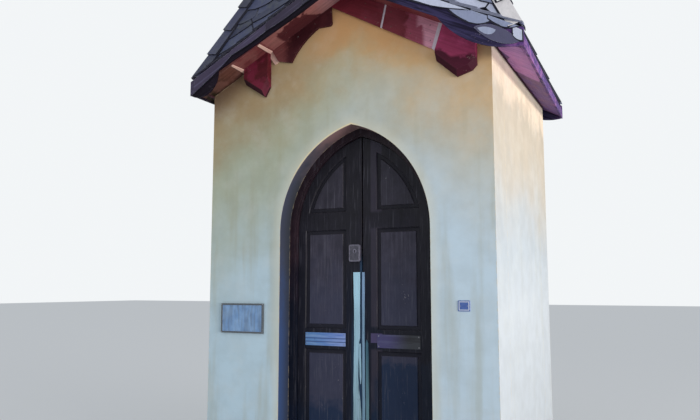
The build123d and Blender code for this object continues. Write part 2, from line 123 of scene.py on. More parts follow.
# %% An even sky, and the pale tone that the camera sees in its place
world = bpy.data.worlds.new("open_sky")
bpy.context.scene.world = world
world.use_nodes = True
sky = world.node_tree
sky_light = sky.nodes["Background"]
sky_light.inputs["Color"].default_value = (0.94, 0.97, 1.0, 1.0)
sky_light.inputs["Strength"].default_value = 0.68
sky_seen = sky.nodes.new("ShaderNodeBackground")
sky_seen.inputs["Color"].default_value = (0.89, 0.915, 0.93, 1.0)
ray = sky.nodes.new("ShaderNodeLightPath")
looked_at = ray.outputs["Is Camera Ray"]
for kind in ("Is Glossy Ray", "Is Transmission Ray"):
    either = sky.nodes.new("ShaderNodeMath")
    either.operation = "MAXIMUM"
    sky.links.new(looked_at, either.inputs[0])
    sky.links.new(ray.outputs[kind], either.inputs[1])
    looked_at = either.outputs[0]
sky_choice = sky.nodes.new("ShaderNodeMixShader")
for socket, source in zip(sky_choice.inputs, (looked_at, sky_light.outputs[0], sky_seen.outputs[0])):
    sky.links.new(source, socket)
sky.links.new(sky_choice.outputs[0], sky.nodes["World Output"].inputs["Surface"])
print("sky strength", sky_light.inputs["Strength"].default_value)

# %% [markdown]
# ## A small kit for node trees
# Every finish below is a node tree. Written out by hand each one would be fifty lines of
# node-making, so a few helpers give the trees a short spelling. `Value` wraps what a node puts
# out, so that plain arithmetic makes the Math nodes. `feed` joins or sets a socket, `fade` turns
# a value into a soft mask, and `tint` mixes colours.

# %% Values that do their own arithmetic
class Value:
    """What a node puts out. Sums, products and the like of it are nodes in the same tree."""
    def __init__(self, socket):
        self.socket = socket

    def __add__(self, other):
        return calc("ADD", self, other)

    def __sub__(self, other):
        return calc("SUBTRACT", self, other)

    def __rsub__(self, other):
        return calc("SUBTRACT", other, self)

    def __mul__(self, other):
        return calc("MULTIPLY", self, other)

    def __rtruediv__(self, other):
        return calc("DIVIDE", other, self)

    def __pow__(self, other):
        return calc("POWER", self, other)

    def __abs__(self):
        return calc("ABSOLUTE", self)


def new_node(kind, *given):
    """A node in the tree that the given values belong to."""
    return next(value.socket.id_data for value in given if isinstance(value, Value)).nodes.new(kind)


def feed(socket, value):
    if isinstance(value, Value):
        socket.id_data.links.new(value.socket, socket)
    else:
        socket.default_value = value


def calc(operation, *values, kind="ShaderNodeMath"):
    node = new_node(kind, *values)
    node.operation = operation
    for socket, value in zip(node.inputs, values):
        feed(socket, value)
    return Value(node.outputs[0])


def scaled(vector, factors):
    return calc("MULTIPLY", vector, factors, kind="ShaderNodeVectorMath")


def moved(vector, offset):
    return calc("ADD", vector, offset, kind="ShaderNodeVectorMath")


def axes(vector):
    node = new_node("ShaderNodeSeparateXYZ", vector)
    feed(node.inputs[0], vector)
    return [Value(socket) for socket in node.outputs]


def combined(kind, parts):
    """Three numbers as one vector or colour."""
    node = new_node(kind, *parts)
    for socket, part in zip(node.inputs, parts):
        feed(socket, part)
    return Value(node.outputs[0])


# %% Colours, soft masks and noise
def paint(red, green, blue):
    """A colour as a screen shows it (0 to 255), turned into the linear values that light uses."""
    def linear(c):
        c = c / 255
        return c / 12.92 if c <= 0.04045 else ((c + 0.055) / 1.055) ** 2.4
    return (linear(red), linear(green), linear(blue), 1.0)


def fade(value, low, high, out_low=0.0, out_high=1.0):
    """A soft step, from one level where the value is low to another where it is high."""
    node = new_node("ShaderNodeMapRange", value)
    node.interpolation_type = "SMOOTHSTEP"
    for socket, given in zip(node.inputs, (value, low, high, out_low, out_high)):
        feed(socket, given)
    return Value(node.outputs["Result"])


def within(value, low, high, soft):
    """A mask between two values, which fades out over a soft margin outside each."""
    return fade(value, low - soft, low) * fade(value, high + soft, high)


def tint(factor, first, second, blend="MIX"):
    node = new_node("ShaderNodeMix", factor, first, second)
    node.data_type = "RGBA"
    node.blend_type = blend
    for index, value in ((0, factor), (6, first), (7, second)):
        feed(node.inputs[index], value)
    return Value(node.outputs[2])


def noise(position, scale, detail=4.0, roughness=0.55):
    node = new_node("ShaderNodeTexNoise", position)
    given = {"Vector": position, "Scale": scale, "Detail": detail, "Roughness": roughness}
    for label, value in given.items():
        feed(node.inputs[label], value)
    return Value(node.outputs["Fac"])


print("a middle grey of 128 is", round(paint(128, 128, 128)[0], 3), "in linear light")

# %% [markdown]
# ## Shared effects as node groups
# Patches, rain streaks, worn edges, grain and chips turn up on plaster, boards, slate and paint
# alike. Each is a node group with named sockets, made once, and every material gives it its own
# sizes. They all start from the object's own coordinates, so a pattern stays on its piece when
# a door leaf swings.

# %% How a group is made and placed
def socket_label(word):
    return word.replace("_", " ").title()


def new_group(name, outputs, **inputs):
    """A group with a Position, the inputs with their usual values (None for a vector), and outputs."""
    tree = bpy.data.node_groups.new(name, "ShaderNodeTree")
    for word, value in {"position": None, **inputs}.items():
        kind = "NodeSocketVector" if value is None else "NodeSocketFloat"
        socket = tree.interface.new_socket(name=socket_label(word), in_out="INPUT", socket_type=kind)
        if value is not None:
            socket.default_value = value
    for label in outputs:
        tree.interface.new_socket(name=label, in_out="OUTPUT", socket_type="NodeSocketFloat")
    print("group", name, "puts out", outputs)
    given = [Value(socket) for socket in tree.nodes.new("NodeGroupInput").outputs if socket.name]
    return tree, given, tree.nodes.new("NodeGroupOutput").inputs


def place(group, position, **values):
    """The outputs of a group that is placed in the tree of its position, or the only one it has."""
    node = new_node("ShaderNodeGroup", position)
    node.node_tree = group
    for word, value in {"position": position, **values}.items():
        feed(node.inputs[socket_label(word)], value)
    outputs = [Value(socket) for socket in node.outputs]
    return outputs if len(outputs) > 1 else outputs[0]


def over_limit(level, cover, soft):
    """Where noise passes a limit that falls as the cover grows."""
    middle = 0.75 - cover * 0.5
    return fade(level, middle - soft, middle + soft)


# %% Patches: soft clouds of another tone
patches, (position, size, seed, softness, cover), result = new_group(
    "patches", ["Mask"], size=0.5, seed=0.0, softness=0.12, cover=0.5)
feed(result["Mask"], over_limit(noise(moved(position, seed), 1.0 / size, 6.0, 0.6), cover, softness))

# %% Rain streaks: patches pulled out along the fall of water
streaks, (position, width, length, seed, cover), result = new_group(
    "rain_streaks", ["Mask"], width=0.05, length=0.8, seed=0.0, cover=0.4)
across = 1.0 / width
pulled = scaled(position, combined("ShaderNodeCombineXYZ", (across, across, 1.0 / length)))
feed(result["Mask"], over_limit(noise(moved(pulled, seed), 1.0, 3.0, 0.5), cover, 0.10))

# %% Worn edges: where a rounded normal leaves the flat one
edge_wear, (position, radius, break_up), result = new_group(
    "edge_wear", ["Mask"], radius=0.006, break_up=60.0)
rounded = new_node("ShaderNodeBevel", position)
rounded.samples = 4
feed(rounded.inputs["Radius"], radius)
flat_normal = Value(new_node("ShaderNodeNewGeometry", position).outputs["True Normal"])
agree = new_node("ShaderNodeVectorMath", position)
agree.operation = "DOT_PRODUCT"
feed(agree.inputs[0], Value(rounded.outputs["Normal"]))
feed(agree.inputs[1], flat_normal)
edge = fade(Value(agree.outputs["Value"]), 0.995, 0.90)
feed(result["Mask"], edge * fade(noise(position, break_up, 5.0, 0.7), 0.42, 0.58))

# %% Grain: fine lines along a board, with a height for the bump
grain, (position, stretch, seed), result = new_group(
    "board_grain", ["Lines", "Height"], stretch=None, seed=0.0)
laid = moved(scaled(position, stretch), seed)
coarse = noise(laid, 1.0, 5.0, 0.62)
feed(result["Lines"], fade(coarse, 0.36, 0.66))
feed(result["Height"], coarse + noise(laid, 4.0, 3.0, 0.6) * 0.4)

# %% Chips: small sharp losses in a coat of paint
chips, (position, size, cover, seed), result = new_group(
    "paint_chips", ["Mask"], size=0.02, cover=0.2, seed=0.0)
chip_scale = 1.0 / size
seeded = moved(position, seed)
area = noise(seeded, chip_scale * 0.12, 2.0, 0.5)
likely = noise(seeded, chip_scale, 3.0, 0.75) + (area - 0.5) * 0.8
limit = 0.85 - cover * 0.5
feed(result["Mask"], fade(likely, limit, limit + 0.02))

# %% Depth below the low gable roof, and distance out from the doorway
RIDGE, PITCH = 3.9784, 0.515
DOOR_HALF, ARCH_RADIUS, SPRING = 0.65, 0.865, 2.055
ARCH_TIP = SPRING + sqrt(ARCH_RADIUS**2 - (ARCH_RADIUS - DOOR_HALF) ** 2)
WALL_LEFT, WALL_RIGHT, WALL_FRONT, WALL_BACK = -1.345, 1.140, -0.973, 1.077
ROOM_LEFT, ROOM_RIGHT, ROOM_FRONT, ROOM_BACK = -0.995, 0.790, -0.623, 0.727

below_roof, (position,), result = new_group("depth_below_roof", ["Depth"])
x, y, z = axes(position)
feed(result["Depth"], RIDGE - abs(x) * PITCH - z)

round_door, (position,), result = new_group("distance_from_doorway", ["Distance"])
x, y, z = axes(position)
sideways = abs(x) + (ARCH_RADIUS - DOOR_HALF)
upwards = calc("MAXIMUM", z - SPRING, 0.0)
feed(result["Distance"], calc("SQRT", sideways ** 2.0 + upwards ** 2.0) - ARCH_RADIUS)
print("arch tip", round(ARCH_TIP, 3), "m up")

# %% [markdown]
# ## A finish in the making
# Every material starts the same way: a shader, the place of a point on its own piece, and a
# colour that grows as one layer is laid over another. A small class keeps those together, so
# that a finish below reads as the list of its layers.

# %% One material, built up in layers
class Finish:
    def __init__(self, name, roughness=0.8, specular=0.3):
        self.material = bpy.data.materials.new(name)
        self.material.use_nodes = True
        self.nodes = self.material.node_tree.nodes
        self.inputs = self.nodes["Principled BSDF"].inputs
        self.inputs["Roughness"].default_value = roughness
        self.inputs["Specular IOR Level"].default_value = specular
        self.position = Value(self.nodes.new("ShaderNodeTexCoord").outputs["Object"])

    def xyz(self):
        return axes(self.position)

    def surface(self, label):
        """What the Geometry node says of the surface, such as its normal."""
        return Value(self.nodes.new("ShaderNodeNewGeometry").outputs[label])

    def clouds(self, size, seed, softness=0.2, cover=0.5):
        return place(patches, self.position, size=size, seed=seed, softness=softness, cover=cover)

    def runs(self, width, length, seed, cover):
        return place(streaks, self.position, width=width, length=length, seed=seed, cover=cover)

    def chipped(self, size, cover, seed):
        return place(chips, self.position, size=size, cover=cover, seed=seed)

    def lay(self, mask, tone, amount=1.0, blend="MIX"):
        """Lays a tone over the colour where the mask says, no stronger than the amount."""
        self.colour = tint(mask * amount, self.colour, tone, blend)

    def wear(self, radius, break_up, tone, amount=1.0):
        self.lay(place(edge_wear, self.position, radius=radius, break_up=break_up), tone, amount)

    def close(self, height=None, distance=0.0, strength=1.0):
        """Gives the shader the colour, and a bump where there is a height."""
        feed(self.inputs["Base Color"], self.colour)
        if height:
            node = self.nodes.new("ShaderNodeBump")
            node.inputs["Distance"].default_value = distance
            node.inputs["Strength"].default_value = strength
            feed(node.inputs["Height"], height)
            feed(self.inputs["Normal"], Value(node.outputs["Normal"]))
        return self


def dress(finish, *names):
    for name in names:
        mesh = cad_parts[name].data
        mesh.materials.clear()
        mesh.materials.append(finish.material)
    print(finish.material.name, "on", len(names), "nodes")


# %% [markdown]
# ## Plaster
# The walls are limewashed render. Under the eaves rust and dry dust have turned it ochre, deepened
# there by painted shade of the roof and a painted shadow of the eave. Lower down rain has washed it
# to a pale blue-grey, whose blue is partly painted sky light, with faint green streaks where water
# runs. Faces towards the lamp get a warmer, paler copy of the wash, which is painted light. All of
# these depend on where a point is, so the colour is built from depth below the roof, distance from
# the doorway and the way a face looks.

# %% Limewash: ochre under the eaves, beige, then blue-grey, and a warmer copy for faces towards the lamp, partly painted light and shade
plaster = Finish("limewashed_plaster", roughness=0.9, specular=0.2)
x, y, z = plaster.xyz()
depth = place(below_roof, plaster.position)
cloud = plaster.clouds(0.55, 3.1, 0.22)
small_cloud = plaster.clouds(0.16, 8.4, 0.16)
sunward = fade(x, -0.9, 0.9)
ragged_depth = depth + (cloud - 0.5) * 0.34
to_blue = fade(ragged_depth + sunward * 0.46, 0.70, 2.20)
# The ochre under the eaves is partly stain and partly painted shade of the roof; the blue of the lower
# blue-grey is partly painted sky light.
ochre = tint(sunward, paint(168, 146, 112), paint(214, 178, 132))
beige = tint(sunward, paint(173, 179, 158), paint(194, 184, 156))
blue_grey = tint(sunward, paint(190, 213, 227), paint(196, 215, 229))
blue_grey = tint(fade(y, 0.2, 1.0, 0.0, 0.7), blue_grey, paint(204, 206, 200))
front_wash = tint(to_blue, tint(fade(ragged_depth, 0.22, 0.95), ochre, beige), blue_grey)
# Near white right under the eave on faces towards the lamp: painted light where the eave shades the wall.
painted_light_under_eave = tint(fade(depth, 0.02, 0.14), paint(255, 242, 218), paint(240, 220, 196))
lamp_side_upper = tint(fade(depth + small_cloud * 0.10, 0.10, 0.46), painted_light_under_eave, paint(190, 179, 163))
lamp_side_lower = tint(fade(z, 2.1, 1.3), paint(180, 188, 195), paint(196, 202, 208))
lamp_side_wash = tint(fade(ragged_depth, 0.45, 1.6), lamp_side_upper, lamp_side_lower)
normal_x, normal_y = axes(plaster.surface("Normal"))[:2]
# Faces towards the lamp take their own warmer, paler copy of the wash: painted light.
faces_lamp = fade(normal_x, 0.3, 0.8)
plaster.colour = tint(faces_lamp, front_wash, lamp_side_wash)
plaster.lay(small_cloud, paint(150, 142, 118), 0.10, "MULTIPLY")
print("the wash takes", len(plaster.nodes), "nodes")

# %% Stains: green runs and rust under the roof, a painted eave shadow, splashed earth at the foot
green = plaster.runs(0.13, 1.3, 5.7, 0.33) * fade(depth, 0.35, 1.0) * fade(normal_x, 0.3, 0.8, 1.0, 0.35)
plaster.lay(green, paint(162, 160, 132), 0.32)
plaster.lay(plaster.clouds(0.22, 17.0, 0.12, 0.35), paint(214, 216, 212), 0.14)
door_distance = place(round_door, plaster.position)
on_front = fade(normal_y, -0.3, -0.8) * fade(y, -0.90, -0.95)
plaster.lay(fade(door_distance, 0.10, 0.0) * on_front, paint(216, 214, 196), 0.45)
rust = fade(ragged_depth, 0.55, 0.12) * fade(abs(x - 0.12), 0.75, 0.15)
plaster.lay(rust, paint(212, 150, 92), fade(y, 0.0, -0.8, 0.15, 0.55))
# Brown darkening right under the roof, absent on faces towards the lamp: painted shadow of the eave.
painted_eave_shadow = fade(depth + fade(x, -1.3, -0.5) * 0.16, 0.34, 0.0)
plaster.lay(painted_eave_shadow, paint(96, 66, 52), 0.72 - faces_lamp * 0.72)
plaster.lay(fade(z + noise(plaster.position, 5.0, 5.0, 0.65) * 0.35, 0.62, 0.16), paint(122, 118, 104), 0.55)
print("with its stains the plaster has", len(plaster.nodes), "nodes")

# %% The reveal of the door, which is painted darker, with painted light towards the open side and painted shade on the right jamb
behind_face = fade(y, WALL_FRONT + 0.001, WALL_FRONT + 0.007)
in_reveal = fade(door_distance, 0.006, 0.002) * behind_face * fade(y, -0.62, -0.64)
# Paler towards the outer arris, darker further in: painted light from the open side.
shy_light = fade(y, -0.80, -0.96) * 0.5
reveal_low = tint(shy_light, paint(6, 25, 58), paint(30, 77, 144))
# Darker on the right jamb, which faces away from the lamp: painted shade.
reveal_low = tint(fade(x, -0.2, 0.2), reveal_low, paint(30, 34, 46))
reveal_middle = tint(shy_light, paint(21, 24, 38), paint(52, 58, 88))
reveal_high = tint(fade(z, 2.66, 2.86), paint(70, 61, 74), paint(130, 96, 98))
patchy_height = z + small_cloud * 0.3
reveal = tint(fade(patchy_height, 1.3, 2.2), reveal_low, reveal_middle)
reveal = tint(fade(patchy_height, 2.50, 3.0), reveal, reveal_high)
plaster.lay(in_reveal, reveal, 0.94)
print("with the reveal it has", len(plaster.nodes), "nodes")

# %% Rubbed arrises, a painted highlight on the arris round the arch, and clean limewash inside
off_spring = fade(abs(z - SPRING), 0.018, 0.030)
off_tip = calc("MAXIMUM", fade(abs(x), 0.018, 0.030), fade(z, ARCH_TIP + 0.027, ARCH_TIP + 0.007))
plaster.wear(0.014, 28.0, paint(214, 196, 158), off_spring * off_tip * 0.6)
# A pale line on the upper left arris of the arch: painted highlight.
painted_arris_highlight = fade(door_distance, 0.015, 0.007) * fade(z, 2.40, 2.62) * fade(x, 0.10, -0.02) * on_front
plaster.lay(painted_arris_highlight, paint(242, 220, 172), 0.60)
between_sides = within(x, ROOM_LEFT - 0.002, ROOM_RIGHT + 0.002, 0.006)
inside = between_sides * within(y, ROOM_FRONT - 0.001, ROOM_BACK + 0.001, 0.006)
plaster.lay(inside, tint(small_cloud, paint(206, 203, 192), paint(188, 184, 172)), 0.9)
trowel = noise(scaled(plaster.position, (1.0, 1.0, 1.6)), 3.2, 3.0, 0.5)
plaster.close(trowel + noise(plaster.position, 150.0, 3.0, 0.7) * 0.10, 0.010, 0.55)
dress(plaster, "front_pier_left", "front_pier_right", "front_arch_left", "front_arch_right")
dress(plaster, "left_wall", "right_wall", "back_wall")

# %% [markdown]
# ## Stone floor and sill
# The sill is a block of grey stone, trodden darker in the middle. It carries the same patches
# and worn edges as the plaster, with a coarser bump and its own colours.

# %% Worn grey stone
stone = Finish("worn_grey_stone", roughness=0.85)
speck = noise(stone.position, 45.0, 6.0, 0.7)
stone.colour = tint(speck, paint(128, 124, 116), paint(168, 164, 154))
stone.lay(stone.clouds(0.3, 2.0), paint(118, 116, 104), 0.4)
stone.lay(fade(abs(stone.xyz()[0]), 0.45, 0.1), paint(92, 90, 88), 0.35)
stone.wear(0.010, 40.0, paint(188, 184, 172))
stone.close(speck + noise(stone.position, 9.0), 0.004)
dress(stone, "floor_slab", "door_sill")

# %% [markdown]
# ## Boards under the roof
# The soffits, friezes and corbels are boards painted oxblood. The coat has chalked to a dusty
# brown on the left and to a dusty pink in places. Towards the lamp the end of the soffit is painted
# purple, painted sky light, and bright bands on the right friezes and corbel are painted light where
# the verge shades them. A near-black stretch of the left soffit and frieze, the faces of the corbels
# that look down and the foot of the right corbel are painted shade. One function makes all of them:
# it is given the tones that follow one another along the slope, and lays grain, dust, lost paint,
# worn edges and this painted shade over them. The roof timber inside was never painted and keeps
# plain wood.

# %% Oxblood boards in bands of tone
def down_the_slope(finish):
    """The place of a point counted along and below the low roof, for grain that follows a board."""
    x, y, z = finish.xyz()
    return combined("ShaderNodeCombineXYZ", (x, y, place(below_roof, finish.position)))


def oxblood(name, first_tone, bands, dust, dust_amount, dust_seed,
            painted_shade_facing_down=0.0, shaded_foot_level=0.0, painted_shadow_stretch=False):
    boards = Finish(name, roughness=0.6, specular=0.15)
    x, y, z = boards.xyz()
    lines, height = place(grain, down_the_slope(boards), stretch=(3.0, 55.0, 55.0), seed=1.7)
    cloud = boards.clouds(0.18, dust_seed, 0.07)
    wander = (cloud - 0.5) * 0.05
    boards.colour = first_tone
    for x_from, x_to, tone in bands:
        boards.lay(fade(x + wander, x_from, x_to), tone)
    shade = combined("ShaderNodeCombineColor", (lines * 0.30 + 0.78,) * 3)
    boards.colour = tint(1.0, boards.colour, shade, "MULTIPLY")
    boards.lay(cloud, dust, dust_amount)
    if painted_shadow_stretch:
        # A near-black stretch of the left soffit near the wall: painted shadow.
        slant = x + wander + abs(y) * 0.54
        stretch = fade(slant, 0.305, 0.285) * fade(x + wander, -0.600, -0.575)
        boards.lay(stretch * fade(abs(y) + wander, 1.175, 1.150), paint(62, 19, 26), 0.92)
    # Faces that look down are darker: painted shade.
    if painted_shade_facing_down:
        looks_down = fade(axes(boards.surface("Normal"))[2], -0.25, -0.45)
        boards.lay(looks_down, paint(38, 13, 24), painted_shade_facing_down)
    # The right corbel is darker below a level line: painted shade of its lower facets.
    if shaded_foot_level:
        level = z - fade(x, 0.86, 0.76) * 0.075 - wander * 0.4
        painted_shade_at_foot = fade(level, shaded_foot_level + 0.022, shaded_foot_level - 0.012) * fade(x, 0.3, 0.5)
        boards.lay(painted_shade_at_foot, paint(60, 14, 32), 0.94)
    boards.lay(boards.chipped(0.012, 0.20, 4.0), paint(146, 122, 118), 0.65)
    boards.wear(0.003, 70.0, paint(170, 140, 136), 0.15 if shaded_foot_level else 0.45)
    over_room = within(y, -0.60, 0.70, 0.06) * within(x, -0.99, 0.79, 0.03)
    boards.lay(over_room, tint(lines, paint(112, 88, 66), paint(140, 112, 84)))
    joint = abs(calc("FRACT", y * 9.2) - 0.5)
    return boards.close(height * 0.35 + fade(joint, 0.485, 0.47), 0.005)


# %% Soffits, friezes and corbels
soffit_bands = [
    (-1.36, -1.10, paint(92, 56, 48)),
    (-1.01, -0.99, paint(104, 50, 52)),
    (-0.755, -0.735, paint(134, 82, 80)),
    (-0.30, -0.10, paint(156, 114, 118)),
    (0.05, 0.20, paint(132, 54, 60)),
    # Purple at the right end of the soffit: painted sky light on the red.
    (0.95, 1.10, paint(110, 82, 138)),
]
# The dark bands of the left frieze: partly darker paint, partly painted shade.
left_bands = [(-0.62, -0.54, paint(52, 13, 20)), (-0.34, -0.22, paint(62, 22, 28))]
# The two lighter bands on the right friezes: chalking, and painted light where the verge shades them.
right_bands = [
    (0.10, 0.34, paint(110, 40, 50)),
    (0.47, 0.52, paint(156, 76, 96)),
    (0.580, 0.625, paint(220, 156, 176)),
]
# The bright crimson of the right corbel: painted light where the verge shades it.
corbel_bands = [(-0.2, 0.2, paint(182, 74, 116))]
soffit_boards = oxblood("chalked_soffit_boards_painted_light_and_shade", paint(38, 30, 16), soffit_bands,
                        paint(140, 98, 92), 0.25, 6.2, painted_shadow_stretch=True)
left_frieze_boards = oxblood("dark_carved_frieze", paint(112, 60, 60), left_bands,
                             paint(92, 40, 44), 0.20, 2.2)
right_frieze_boards = oxblood("chalked_straight_frieze_painted_light", paint(112, 34, 46), right_bands,
                              paint(138, 60, 76), 0.25, 9.4)
corbel_boards = oxblood("crimson_corbels", paint(80, 22, 31), corbel_bands,
                        paint(134, 40, 70), 0.45, 5.1, painted_shade_facing_down=0.85, shaded_foot_level=3.285)
dress(soffit_boards, "left_gable_decks", "right_gable_decks", "left_eave_deck", "right_eave_deck")
dress(left_frieze_boards, "left_friezes")
dress(right_frieze_boards, "right_friezes")
dress(corbel_boards, "corbels")

# %% [markdown]
# ## Door paint
# Frame and leaves share one very dark brown-blue gloss that has gone dull, but the panels were
# painted later and are a shade greyer, with a bloom of blue in the lower right one. The groove round
# each field and the arch head are painted darker, painted shade, and the slit between the leaves
# with a band behind the laths is painted as the shadow of the rebate. A finish that only differs in
# a few colours is made by one function with named values.

# %% One dull door gloss in several tones
RAIL_Z, TRANSOM_Z = 1.205, 2.14


def door_gloss(name, dark, light, low_tone, navy_tone, low_cover,
               roughness=0.42, meeting_dark=0.0, specks=0.0, rim=0.0):
    gloss = Finish(name, roughness=roughness, specular=0.22)
    x, y, z = gloss.xyz()
    lines, height = place(grain, gloss.position, stretch=(70.0, 70.0, 3.5), seed=9.0)
    cloud = gloss.clouds(0.20, 7.0, 0.15)
    gloss.colour = tint(lines * cloud * 0.6 + gloss.clouds(0.10, 15.0) * 0.4, dark, light)
    gloss.lay(fade(z + cloud * 0.25, 2.25, 1.40), low_tone, low_cover)
    navy = fade(z + cloud * 0.18, 1.13, 1.03) * fade(x, 0.06, 0.16)
    navy = calc("MAXIMUM", navy, fade(z + cloud * 0.10, 0.76, 0.66))
    gloss.lay(navy, navy_tone, 0.80)
    if meeting_dark:
        gloss.lay(fade(abs(x), 0.20, 0.16) * fade(z, 1.85, 1.55), paint(7, 14, 34), meeting_dark)
        # The slit between the leaves and a blue band behind the split laths: painted shadow of the rebate.
        slit = fade(abs(x + 0.006), 0.014, 0.010) * fade(z, 1.90, 1.75)
        painted_rebate_shadow = calc("MAXIMUM", fade(abs(x), 0.105, 0.070) * fade(z, 1.50, 1.15), slit)
        gloss.lay(painted_rebate_shadow * fade(x, 0.030, 0.024), paint(38, 64, 92), meeting_dark)
    # Darker over the arch head: painted shade.
    gloss.lay(fade(z, 2.05, 2.20, 0.0, 0.30), paint(20, 18, 24))
    gloss.lay(gloss.runs(0.012, 0.22, 12.0, 0.22), paint(104, 104, 116), 0.25)
    if meeting_dark:
        off_rails = fade(abs(z - RAIL_Z), 0.075, 0.10) * fade(abs(z - TRANSOM_Z), 0.05, 0.08)
        washed = fade(x, 0.072, 0.086) * off_rails * fade(x, 0.185, 0.165, 0.0, 0.75)
        gloss.lay(washed, tint(navy, paint(56, 52, 66), paint(16, 36, 62)))
        purple = fade(abs(z - RAIL_Z), 0.040, 0.034) * fade(x, 0.072, 0.080)
        gloss.lay(purple * fade(x, 0.185, 0.165), paint(76, 68, 104))
    # Darker in the groove round each field: painted shade.
    if rim:
        gloss.lay(fade(y, -0.7625, -0.7560) * fade(y, -0.742, -0.748), paint(14, 14, 24), rim)
    if specks:
        gloss.lay(gloss.chipped(0.012, specks, 21.0), paint(150, 146, 152), 0.7)
    gloss.wear(0.003, 55.0, paint(112, 100, 98), 0.45)
    feed(gloss.inputs["Roughness"], cloud * 0.18 + roughness)
    return gloss.close(height, 0.0016)


frame_paint = door_gloss(
    "door_frame_gloss", paint(36, 22, 32), paint(54, 36, 46), paint(10, 18, 34), paint(14, 24, 44), 0.95)
leaf_paint = door_gloss(
    "door_leaf_gloss", paint(20, 19, 29), paint(38, 36, 48), paint(12, 16, 32), paint(10, 22, 42), 0.6,
    meeting_dark=0.85)
panel_paint = door_gloss(
    "door_panel_gloss", paint(50, 48, 60), paint(76, 73, 88), paint(58, 62, 86), paint(14, 38, 68), 0.6, 0.5,
    specks=0.10, rim=0.80)
dress(frame_paint, "door_frame_jamb_left", "door_frame_jamb_right")
dress(frame_paint, "door_frame_arch_left", "door_frame_arch_right")
dress(leaf_paint, "left_leaf_frame", "right_leaf_frame")
dress(panel_paint, "left_leaf_panels", "right_leaf_panels")

# %% Pale strip paint, chipped and streaked
def strip_finish(name, top_tone, tone, low_tone, streak_tone):
    strip = Finish(name, roughness=0.5)
    z = strip.xyz()[2]
    lines, height = place(grain, strip.position, stretch=(240.0, 60.0, 3.0), seed=2.6)
    strip.colour = tint(fade(z, 1.15, 0.60), tint(fade(z, 1.35, 1.55), tone, top_tone), low_tone)
    strip.lay(lines, streak_tone, 0.30)
    long_split = strip.runs(0.007, 0.35, 31.0, 0.24)
    strip.lay(long_split, paint(40, 52, 60), fade(z, 1.25, 0.95, 0.12, 0.9))
    strip.lay(strip.chipped(0.010, 0.22, 15.0), paint(58, 70, 80), 0.8)
    return strip.close(height - long_split, 0.0015)


pale_lath = strip_finish(
    "pale_lath_paint", paint(176, 224, 244), paint(158, 202, 220), paint(142, 178, 190), paint(184, 200, 232))
blue_lath = strip_finish(
    "blue_lath_paint", paint(132, 164, 200), paint(122, 156, 184), paint(112, 148, 170), paint(150, 176, 210))
teal_lath = strip_finish(
    "teal_lath_paint", paint(52, 92, 116), paint(48, 86, 108), paint(98, 134, 146), paint(110, 156, 164))
dress(pale_lath, "left_leaf_strip")
dress(blue_lath, "right_leaf_strip")

# %% [markdown]
# ## Rail plates, lock and hinges
# Two thin metal plates face the middle rails: a blue enamelled one on the left, ruled by two
# fine lines, and a dull purple one on the right that darkens outwards. The lock is a cast grey
# case. Rulings are given by height, so they stay parallel to the rail.

# %% Enamel with fine rulings and a painted sheen
def ruled_enamel(name, colour_left, colour_right, x_from, x_to, rulings, ruling_colour, sheen=0.22):
    enamel = Finish(name, roughness=0.38, specular=0.5)
    x, y, z = enamel.xyz()
    enamel.colour = tint(fade(x, x_from, x_to), colour_left, colour_right)
    # Pale streaks laid on with a screen blend: painted sheen.
    painted_sheen_streaks = scaled(enamel.position, (0.2, 1.0, 12.0))
    painted_sheen_streaks = place(streaks, painted_sheen_streaks, width=0.05, length=0.4, seed=3.0, cover=0.5)
    enamel.lay(painted_sheen_streaks, paint(196, 210, 230), sheen, "SCREEN")
    for height in rulings:
        enamel.lay(fade(abs(z - height), 0.0045, 0.0030), ruling_colour)
    enamel.lay(enamel.chipped(0.008, 0.20, 19.0), paint(48, 52, 66))
    enamel.wear(0.002, 90.0, paint(190, 200, 215), sheen * 2.7)
    return enamel.close(noise(enamel.position, 60.0), 0.0008)


plate_low, plate_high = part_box("left_leaf_plate")
third = (plate_high.z - plate_low.z) / 3
rules = (plate_low.z + third * 0.9, plate_low.z + third * 1.7)
blue_enamel = ruled_enamel(
    "blue_enamel", paint(84, 132, 190), paint(98, 128, 202), -0.5, -0.15, rules, paint(62, 88, 140))
purple_enamel = ruled_enamel(
    "purple_enamel", paint(62, 57, 106), paint(16, 17, 28), 0.20, 0.42, (), paint(40, 40, 50), 0.04)
dress(blue_enamel, "left_leaf_plate")
dress(purple_enamel, "right_leaf_plate")

# %% Cast and rolled metals, rusted where they are bare
def old_metal(name, tone, dark_tone, metallic, roughness, rust_cover=0.2):
    metal = Finish(name, roughness=roughness, specular=0.5)
    metal.inputs["Metallic"].default_value = metallic
    cloud = metal.clouds(0.03, 5.0)
    metal.colour = tint(cloud, tone, dark_tone)
    rust = metal.chipped(0.010, rust_cover, 8.0)
    metal.lay(rust, paint(96, 66, 50), 0.8)
    metal.wear(0.0025, 80.0, paint(186, 186, 192), 0.6)
    feed(metal.inputs["Roughness"], rust * 0.3 + roughness)
    return metal.close(noise(metal.position, 220.0) + cloud, 0.0006)


